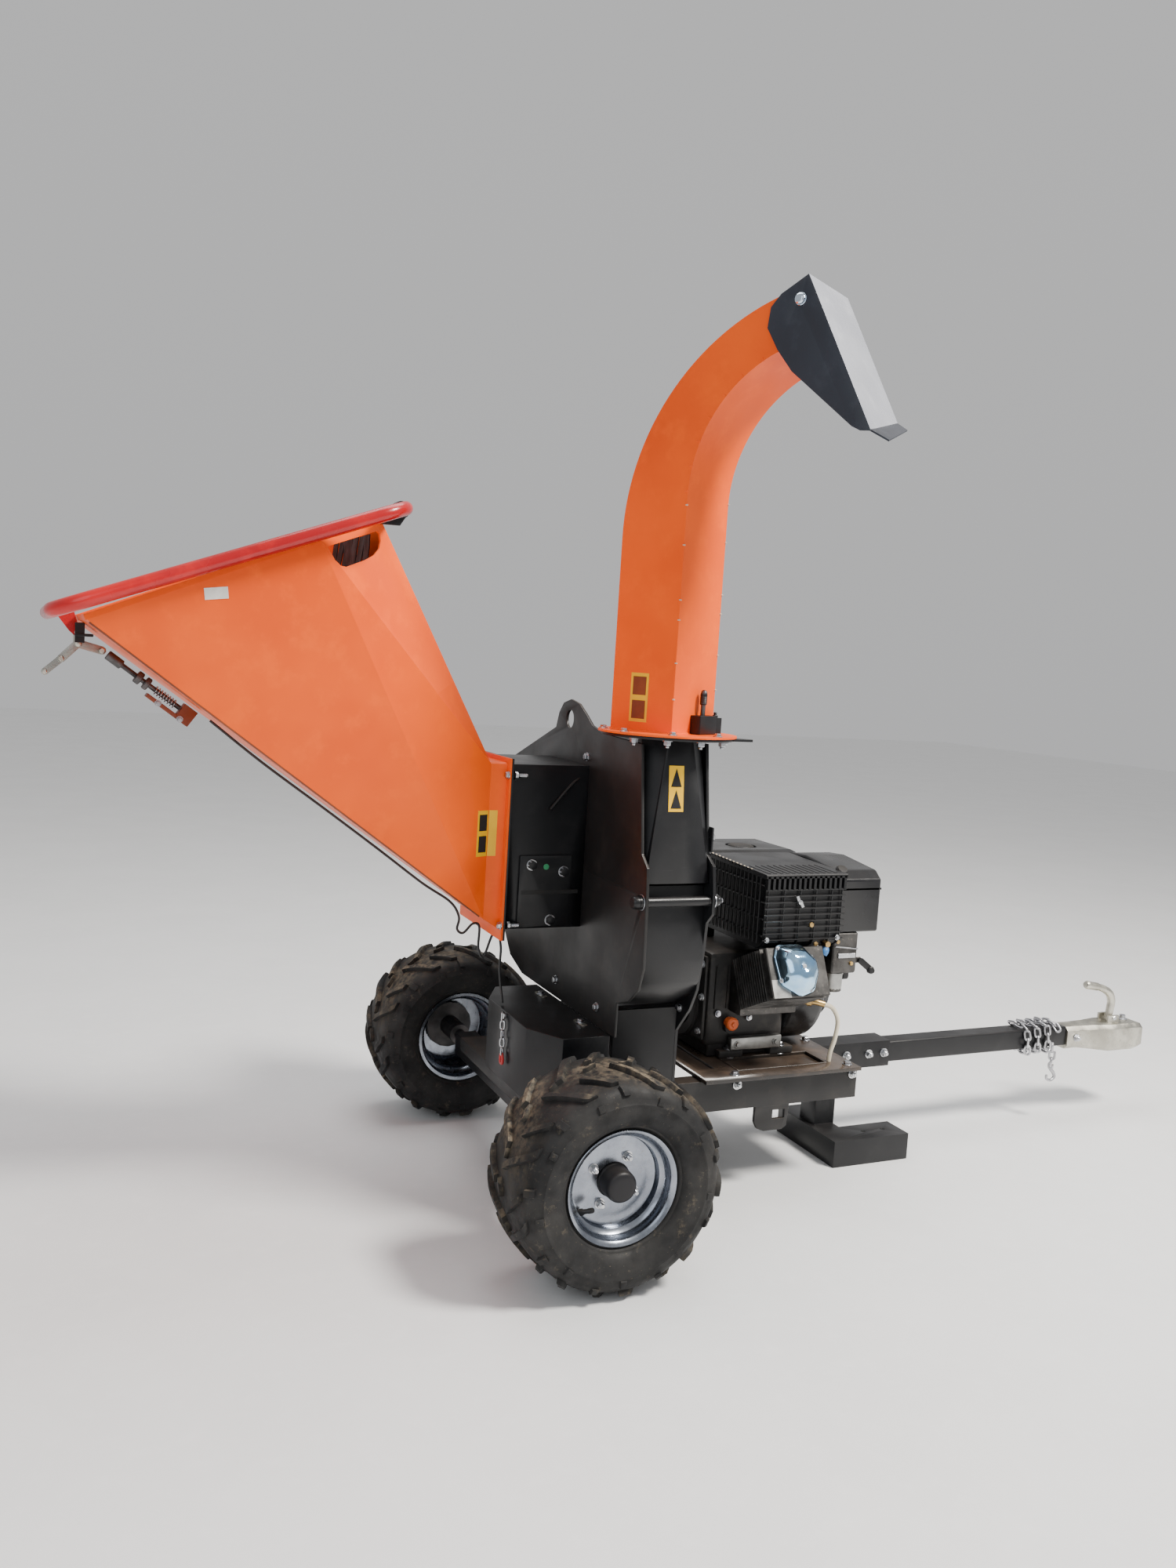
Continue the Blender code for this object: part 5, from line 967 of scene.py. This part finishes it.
# faces turned like the front plate get the light grey material: a painted reflection of the sky
dfl = dress("deflector", [DEFL, DEFL_FACE_PAINTED_REFLECTION], 0.0008, 2, 25)
front_n = (S_DIR * 0.87 + Vector((0, 0, 1)) * 0.45).normalized()
for poly in dfl.data.polygons:
    if poly.normal.dot(front_n) > 0.90:
        poly.material_index = 1
dress("deflector_bolt", CHROME, 0.0006, 2)
db = [hexbolt(bolt_c - T_DIR * 0.0775, -T_DIR, 0.0082, 0.0040, washer=0.0105), ]
put("deflector_bolt_head", join(*db), CHROME, "swivel_chute")
dress("lock_block", BLACK, 0.0016, 3)
dress("lock_plunger", IRON, 0.0008, 2)
kn = cw_(0.0665, 0.0140, 0)
put("lock_knob", lathe([(0, 1.0440), (0.0058, 1.0440), (0.0066, 1.0455)] + [(0.0068 if i % 2 else 0.0062, 1.0470 + 0.0012 * i) for i in range(12)] + [(0.0064, 1.0640), (0.0050, 1.0690), (0.0030, 1.0715), (0, 1.0720)], kn, 'z', 32), BLACK, "plunger")
put("lock_side_block", join(loft([[cw_(s, t, z) for s, t in ((0.0560, 0.0530), (0.0760, 0.0530), (0.0760, 0.0700), (0.0560, 0.0700))] for z in (0.9888, 1.0200)]), nut_on_stud(cw_(0.0660, 0.0615, 1.0200), (0, 0, 1), 0.0060, 0.005, 0.0035, 0.004)), BLACK, "swivel_chute")

# ------------------------------------------------------------------ engine
dress("engine_crankcase", GREASE, 0.0030, 3, 25)
KC = (0, 0.020, 0.372)
cc = []
for x in (0.415, 0.445, 0.475, 0.505, 0.535, 0.565):
    cc.append(box(x, x + 0.0045, -0.0895, -0.0700, 0.375, 0.470, 0.0008, 1))
cc.append(box(0.392, 0.400, -0.080, 0.130, 0.305, 0.490, 0.0030, 2))
cc.append(lathe([(0.060, 0.384), (0.078, 0.384), (0.082, 0.388), (0.082, 0.396), (0.060, 0.396)], KC, 'x', 48))
for x0 in (0.430, 0.560):
    for y0 in (-0.1000, 0.118):
        cc.append(box(x0, x0 + 0.060, y0, y0 + 0.030, 0.2670, 0.2830, 0.0030, 2))
put("crankcase_ribs", join(*cc), GREASE, "chassis", smooth=35)
eb = [hexbolt((0.3918, CRY, CRZ), (-1, 0, 0), 0.0065, 0.005, washer=0.0085, phase=CRY * 50) for CRY, CRZ in ((-0.068, 0.322), (-0.068, 0.472), (0.118, 0.322), (0.118, 0.472), (0.020, 0.482), (-0.074, 0.400))]
eb += [hexbolt((x + 0.03, -0.0880, 0.2832), (0, 0, 1), 0.0085, 0.0065, washer=0.012, phase=x * 9) for x in (0.430, 0.560)]
eb += [hexbolt((x, -0.0895, z), (0, -1, 0), 0.0055, 0.0045, washer=0.0075) for x, z in ((0.4250, 0.365), (0.5850, 0.365), (0.5050, 0.352))]
put("engine_bolts", join(*eb), ZINC, "chassis", smooth=30)
put("foot_bar", join(box(0.454, 0.584, -0.1060, -0.0890, 0.2838, 0.3125, 0.0030, 3), *[hexbolt((x, -0.1060, 0.298), (0, -1, 0), 0.0060, 0.0045, washer=0.008) for x in (0.470, 0.568)]), ALLOY_L, "chassis", smooth=40)
put("oil_plug", join(lathe([(0, -0.1120), (0.0110, -0.1120), (0.0145, -0.1095), (0.0148, -0.1010), (0.0120, -0.0990), (0.0120, -0.0900), (0, -0.0900)], (0.453, 0, 0.345), 'y', 12), lathe([(0, -0.1155), (0.0050, -0.1155), (0.0058, -0.1140), (0.0058, -0.1100), (0, -0.1100)], (0.453, 0, 0.345), 'y', 4)), O_PLUG, "chassis", smooth=30)
put("drain_elbow", join(tube(spline([(0.600, -0.150, 0.400), (0.622, -0.168, 0.402), (0.640, -0.176, 0.398)], 14), 0.0068, 16), lathe([(0, -0.006), (0.0095, -0.006), (0.0095, 0.004), (0, 0.004)], (0.612, -0.162, 0.401), (0.8, -0.6, 0), 6)), BRASS, "chassis")

D_DIR, V_DIR, U_DIR = Vector((0, -COS_E, SIN_E)), Vector((0, SIN_E, COS_E)), Vector((1, 0, 0))


def head(d, du, dv):
    return Vector((0.517 + du, 0.020, 0.372)) + D_DIR * d + U_DIR * du * 0 + V_DIR * dv


def slab(u0, u1, v0, v1, d0, d1, bevel=0.0008):
    bm = box(u0, u1, v0, v1, d0, d1, bevel, 1)
    return at_frame(bm, Vector((0.517, 0.020, 0.372)), U_DIR, V_DIR, D_DIR)


fins = [slab(-0.0590, 0.0730, -0.0460, 0.0460, 0.1450, 0.2840), slab(-0.0640, 0.0780, -0.0530, 0.0530, 0.2700, 0.2846, 0.0020)]
for k in range(13):
    d = 0.1500 + 0.0092 * k
    fins.append(slab(-0.0668, 0.0808, -0.0546, 0.0546, d, d + 0.0024, 0.0006))
for u in (-0.050, -0.010, 0.030, 0.065):
    fins.append(slab(u, u + 0.0100, -0.0500, 0.0500, 0.1480, 0.2840, 0.0012))
fins.append(box(0.4520, 0.5960, -0.1360, -0.0850, 0.3700, 0.4780, 0.0040, 2))
put("cylinder_head_look", join(*fins), ALLOY, "chassis", "cylinder_head", smooth=30)
put("head_gasket", slab(-0.0620, -0.0200, -0.0530, -0.0150, 0.2846, 0.2852, 0.0), ALLOY_L, "chassis")
hexa = [(-0.040, 0.056), (0.018, 0.056), (0.050, 0.022), (0.052, -0.004), (0.034, -0.042), (0.000, -0.052), (-0.044, -0.024), (-0.050, 0.030)]
cen = (-0.0005, 0.0050)


def hexring(d, k, round_=0.0):
    out = []
    n = len(hexa)
    for i in range(n):
        a, b = Vector(hexa[i]), Vector(hexa[(i + 1) % n])
        for f in (0.10, 0.30, 0.50, 0.70, 0.90):
            p = a.lerp(b, f)
            q = Vector(cen) + (p - Vector(cen)) * k
            if round_:
                m = (q - Vector(cen))
                q = Vector(cen) + m * (1 - round_) + m.normalized() * 0.030 * k * round_
            out.append(tuple(Vector((0.517, 0.020, 0.372)) + D_DIR * d + U_DIR * q.x + V_DIR * q.y))
    return out


rk = [(0.2854, 1.0, 0), (0.2866, 1.02, 0), (0.2900, 1.02, 0), (0.2912, 0.985, 0), (0.2925, 0.955, 0), (0.2985, 0.935, 0.05), (0.3050, 0.88, 0.1), (0.3105, 0.80, 0.15), (0.3150, 0.72, 0.2), (0.3190, 0.62, 0.3), (0.3218, 0.50, 0.4), (0.3228, 0.38, 0.5), (0.3222, 0.30, 0.7), (0.3200, 0.22, 0.9), (0.3190, 0.10, 1.0)]
put("rocker_cover_look", loft([hexring(*q) for q in rk]), BLUE_CHROME, "chassis", "rocker_cover", smooth=55)
rb = [hexbolt(Vector((0.517, 0.020, 0.372)) + D_DIR * 0.2905 + U_DIR * u * 0.975 + V_DIR * v * 0.975, D_DIR, 0.0042, 0.0040, flange=True) for u, v in ((-0.040, 0.050), (0.040, 0.0290), (-0.0430, -0.018), (0.0250, -0.0410))]
rb.append(hexbolt(Vector((0.517, 0.020, 0.372)) + D_DIR * 0.3190 + U_DIR * cen[0] + V_DIR * cen[1], D_DIR, 0.0055, 0.0035))
put("rocker_bolts", join(*rb), ZINC, "chassis", smooth=30)

# muffler under its guard: ribbed box with beads, fins and louvres
mg = [prism([(-0.1940, 0.6850), (0.0320, 0.6965), (0.0320, 0.5300), (-0.1740, 0.5300), (-0.1880, 0.5385), (-0.1940, 0.5450)], 'x', 0.4560, 0.6490)]
mg.append(prism([(-0.2050, 0.6840), (-0.2000, 0.6820), (0.0330, 0.6900), (0.0330, 0.7000), (-0.2035, 0.6920), (-0.2050, 0.6905)], 'x', 0.4502, 0.6548))
for k in range(16):
    x = 0.4570 + 0.0128 * k
    mg.append(prism([(-0.2050, 0.6600), (-0.1990, 0.6585), (-0.1930, 0.6600), (-0.1930, 0.6860), (-0.2050, 0.6880)], 'x', x - 0.0030, x + 0.0030))
for k in range(9):
    z0 = 0.5520 + 0.0134 * k
    mg.append(tube([(0.4515, -0.2022, z0), (0.4600, -0.2022, z0), (0.6450, -0.2022, z0), (0.6535, -0.2022, z0)], 0.0017, 8))
for x in (0.4600, 0.5000, 0.5400, 0.5800, 0.6200, 0.6460):
    mg.append(tube([(x, -0.1995, 0.6620), (x, -0.1995, 0.5520), (x, -0.1930, 0.5410), (x, -0.1760, 0.5310)], 0.0020, 8))
for k in range(13):
    y = 0.0200 - 0.0165 * k
    mg.append(tube([(0.4525, y, 0.6940 - 0.0004 * k), (0.4525, y, 0.5400 + 0.0002 * k)], 0.0020, 8))
for z0 in (0.5600, 0.5960, 0.6320, 0.6680):
    mg.append(tube([(0.4540, -0.1950, z0), (0.4540, 0.0250, z0)], 0.0020, 8))
for k in range(12):
    x = 0.4660 + 0.0152 * k
    mg.append(prism([(-0.1900, 0.6926), (-0.1100, 0.6953), (-0.1100, 0.6960), (-0.1900, 0.6933)], 'x', x - 0.0030, x + 0.0030))
put("muffler_guard_look", join(*mg), BLACK, "chassis", "muffler_guard", smooth=30)
# row of small tan discs on the guard's top edge: painted highlights standing for the vents' reflections
guard_highlight_discs = []
for k in range(12):
    y = 0.0380 - 0.0152 * k - 0.010
    guard_highlight_discs.append(lathe([(0, 0.4502), (0.0024, 0.4502), (0.0030, 0.4510), (0.0030, 0.4540), (0, 0.4540)], (0, y, 0.6985 - 0.0012 * k * 0.5), 'x', 12))
put("guard_vent_painted_highlights", join(*guard_highlight_discs), TAN_WELD_AND_PAINTED_HIGHLIGHT, "chassis")
put("guard_wing_nut", join(lathe([(0, -0.2050), (0.0060, -0.2050), (0.0050, -0.2120), (0, -0.2130)], (0.534, 0, 0.634), 'y', 20),
                           prism([(0.5230, 0.6460), (0.5290, 0.6480), (0.5350, 0.6360), (0.5300, 0.6320)], 'y', -0.2105, -0.2075), prism([(0.5390, 0.6220), (0.5450, 0.6240), (0.5380, 0.6360), (0.5330, 0.6320)], 'y', -0.2105, -0.2075)), ZINC, "chassis")
bb = [hexbolt((x, -0.1995, z), (0, -1, 0), 0.0045, 0.0030, washer=0.0060) for x, z in ((0.4640, 0.552), (0.6420, 0.552))]
put("guard_screws", join(*bb), ZINC, "chassis", smooth=30)
br = [hexbolt((0.568, -0.2055, 0.584), (0, -1, 0), 0.0060, 0.0045), lathe([(0, -0.008), (0.0070, -0.008), (0.0075, 0.006), (0, 0.006)], (0.613, -0.2020, 0.540), 'y', 6), hexbolt((0.5850, -0.2025, 0.541), (0, -1, 0), 0.0055, 0.0040)]
put("exhaust_brass", join(*br), BRASS, "chassis", smooth=30)
boot = spline([(0.6060, -0.2060, 0.5200), (0.6090, -0.2080, 0.5260), (0.6150, -0.2000, 0.5300), (0.6230, -0.1850, 0.5290)], 14)
put("plug_boot", tube(boot, lambda f: 0.0085 - 0.0025 * f, 16), BLUE_PL, "chassis")

# air cleaner
ac = dress("air_cleaner", PLAS_S, 0.0060, 4, 20)
put("air_cleaner_seam", join(prism([(-0.1732 + 0.0012, 0.6490), (-0.1732 + 0.0012, 0.6530), (0.0345, 0.6530), (0.0345, 0.6490)], 'x', 0.6592, 0.7708),
                             *[box(0.7700, 0.7712, -0.150 + 0.030 * k, -0.140 + 0.030 * k, 0.575, 0.640, 0.0005, 1) for k in range(6)]), PLAS, "chassis", smooth=30)
put("air_cleaner_knob", join(lathe([(0, -0.008), (0.0130, -0.008), (0.0140, -0.004), (0.0140, 0.004), (0.0110, 0.008), (0, 0.009)], (0.667, -0.162, 0.690), (0, -0.6, 0.8), 10)), PLAS, "chassis", smooth=30)

dress("carburettor", ALLOY, 0.0020, 2)
cb2 = [lathe([(0, 0.4180), (0.0060, 0.4180), (0.0170, 0.4195), (0.0205, 0.4230), (0.0215, 0.4290), (0.0215, 0.4560), (0.0228, 0.4570), (0.0228, 0.4600), (0, 0.4600)], (0.682, -0.140, 0), 'z', 40)]
put("carb_bowl", join(*cb2), ALLOY_L, "chassis", smooth=40)
put("carb_bowl_bolt", join(lathe([(0, 0.4142), (0.0050, 0.4142), (0.0056, 0.4150), (0.0056, 0.4182), (0, 0.4182)], (0.682, -0.140, 0), 'z', 6), hexbolt((0.6660, -0.1700, 0.5350), (0, -1, 0), 0.0048, 0.0040), hexbolt((0.7060, -0.1700, 0.4850), (0, -1, 0), 0.0048, 0.0040)), BRASS, "chassis")
put("carb_linkage", join(tube([(0.660, -0.1735, 0.5250), (0.7180, -0.1735, 0.5180), (0.7200, -0.1600, 0.5100)], 0.0016, 8), box(0.6700, 0.7150, -0.1728, -0.1700, 0.4980, 0.5080, 0.0006, 1)), ZINC, "chassis")
dress("choke_lever", PLAS, 0.0010, 2)
put("choke_bracket", box(0.7190, 0.7480, -0.1494, -0.1464, 0.4795, 0.4925, 0.0008, 1), ALLOY, "chassis")
put("choke_knob", lathe([(0, -0.006), (0.0060, -0.006), (0.0085, -0.003), (0.0085, 0.003), (0.0060, 0.006), (0, 0.006)], (0.7700, -0.1580, 0.4640), 'y', 20), PLAS, "choke")

# fan shroud with its starter and grip
fs = [(0, 0.6003), (0.1130, 0.6003), (0.1180, 0.6020), (0.1230, 0.6070), (0.1250, 0.6140), (0.1250, 0.6790), (0.1235, 0.6870), (0.1190, 0.6940), (0.1130, 0.6980), (0.0920, 0.7000), (0.0895, 0.7015), (0.0860, 0.7290), (0.0840, 0.7340), (0.0790, 0.7380), (0.0700, 0.7400), (0, 0.7400)]
slotsx = []
shroud = lathe(fs, (0, 0.020, 0.396), 'x', 96)
cuts = []
for k in range(14):
    a = 2 * math.pi * k / 14
    c, s = math.cos(a), math.sin(a)
    cuts.append(loft([[(x, 0.020 + r * c - t * s, 0.396 + r * s + t * c) for r, t in ((0.030, -0.0028), (0.066, -0.0042), (0.066, 0.0042), (0.030, 0.0028))] for x in (0.7350, 0.7500)]))
shroud = cut(shroud, [join(*cuts)])
put("fan_shroud_look", shroud, PLAS_S, "chassis", "fan_shroud", smooth=30)
put("shroud_boss", join(box(0.6100, 0.6900, -0.1130, -0.0950, 0.4500, 0.4800, 0.0040, 2), *[hexbolt((0.6985, 0.020 + 0.1030 * math.cos(a), 0.396 + 0.1030 * math.sin(a)), (1, 0, 0), 0.0052, 0.0045, washer=0.007) for a in (0.6, 2.2, 3.8, 5.4)]), BLACK, "chassis", smooth=30)
dress("starter_grip", PLAS, 0.0040, 4, 25)
dress("fuel_tank", PLAS_S, 0.0060, 4, 20)
put("tank_seam", box(0.4500, 0.7020, 0.0380, 0.2420, 0.6340, 0.6375, 0.0012, 2), PLAS_S, "chassis", smooth=30)
cap = [(0, 0.6866), (0.0300, 0.6866), (0.0318, 0.6880), (0.0318, 0.6990), (0.0300, 0.7025), (0.0260, 0.7042), (0.0120, 0.7046), (0, 0.7048)]
capr = [lathe(cap, (0.580, 0.120, 0), 'z', 64)]
for k in range(24):
    a = 2 * math.pi * k / 24
    capr.append(tube([(0.580 + 0.0318 * math.cos(a), 0.120 + 0.0318 * math.sin(a), 0.6885), (0.580 + 0.0318 * math.cos(a), 0.120 + 0.0318 * math.sin(a), 0.6995)], 0.0012, 6))
put("fuel_cap_look", join(*capr), PLAS, "tank_cap", "fuel_cap", smooth=40)

# ------------------------------------------------------------------ floor and light
fl = bmesh.new()
nx = 60
for i in range(nx + 1):
    for j in range(nx + 1):
        fl.verts.new((-14 + 28 * i / nx, -12 + 28 * j / nx, 0))
fl.verts.ensure_lookup_table()
for i in range(nx):
    for j in range(nx):
        a = i * (nx + 1) + j
        fl.faces.new([fl.verts[a], fl.verts[a + nx + 1], fl.verts[a + nx + 2], fl.verts[a + 1]])
me = bpy.data.meshes.new("floor")
fl.to_mesh(me)
fl.free()
floor = bpy.data.objects.new("floor", me)
bpy.context.scene.collection.objects.link(floor)
me.materials.append(paint("m_floor", (0.82, 0.82, 0.82), (0.80, 0.80, 0.80), (0.85, 0.85, 0.85), (0.6, 0.7), peel=0.05, peel_scale=60))
for p in me.polygons:
    if p.normal.z < 0:
        me.flip_normals()
        break

world = bpy.data.worlds.new("studio")
bpy.context.scene.world = world
world.use_nodes = True
wn = world.node_tree
bg = wn.nodes["Background"]
tc = wn.nodes.new("ShaderNodeTexCoord")
sep = wn.nodes.new("ShaderNodeSeparateXYZ")
wn.links.new(tc.outputs["Generated"], sep.inputs[0])
mr = wn.nodes.new("ShaderNodeMapRange")
mr.inputs["From Min"].default_value = -0.1
mr.inputs["From Max"].default_value = 0.9
wn.links.new(sep.outputs["Z"], mr.inputs["Value"])
cr = wn.nodes.new("ShaderNodeValToRGB")
cr.color_ramp.elements[0].color = (0.86, 0.86, 0.87, 1)
cr.color_ramp.elements[1].color = (1.0, 1.0, 1.0, 1)
wn.links.new(mr.outputs["Result"], cr.inputs["Fac"])
wn.links.new(cr.outputs["Color"], bg.inputs["Color"])
bg.inputs["Strength"].default_value = 0.62


def area(name, at, to, size, power, col=(1, 1, 1)):
    ld = bpy.data.lights.new(name, 'AREA')
    ld.shape, ld.size, ld.energy, ld.color = 'DISK', size, power, col
    ob = bpy.data.objects.new(name, ld)
    bpy.context.scene.collection.objects.link(ob)
    ob.location = at
    ob.rotation_euler = (Vector(to) - Vector(at)).to_track_quat('-Z', 'Y').to_euler()
    return ob


area("key", (1.9, -2.3, 4.4), (0.0, -0.1, 0.7), 1.2, 440, (1.0, 0.96, 0.90))
area("fill", (-2.8, -2.6, 2.2), (-0.2, 0.0, 0.8), 2.4, 26, (0.86, 0.93, 1.0))
area("top", (-0.2, 0.6, 4.0), (0.0, 0.0, 0.6), 2.6, 70)
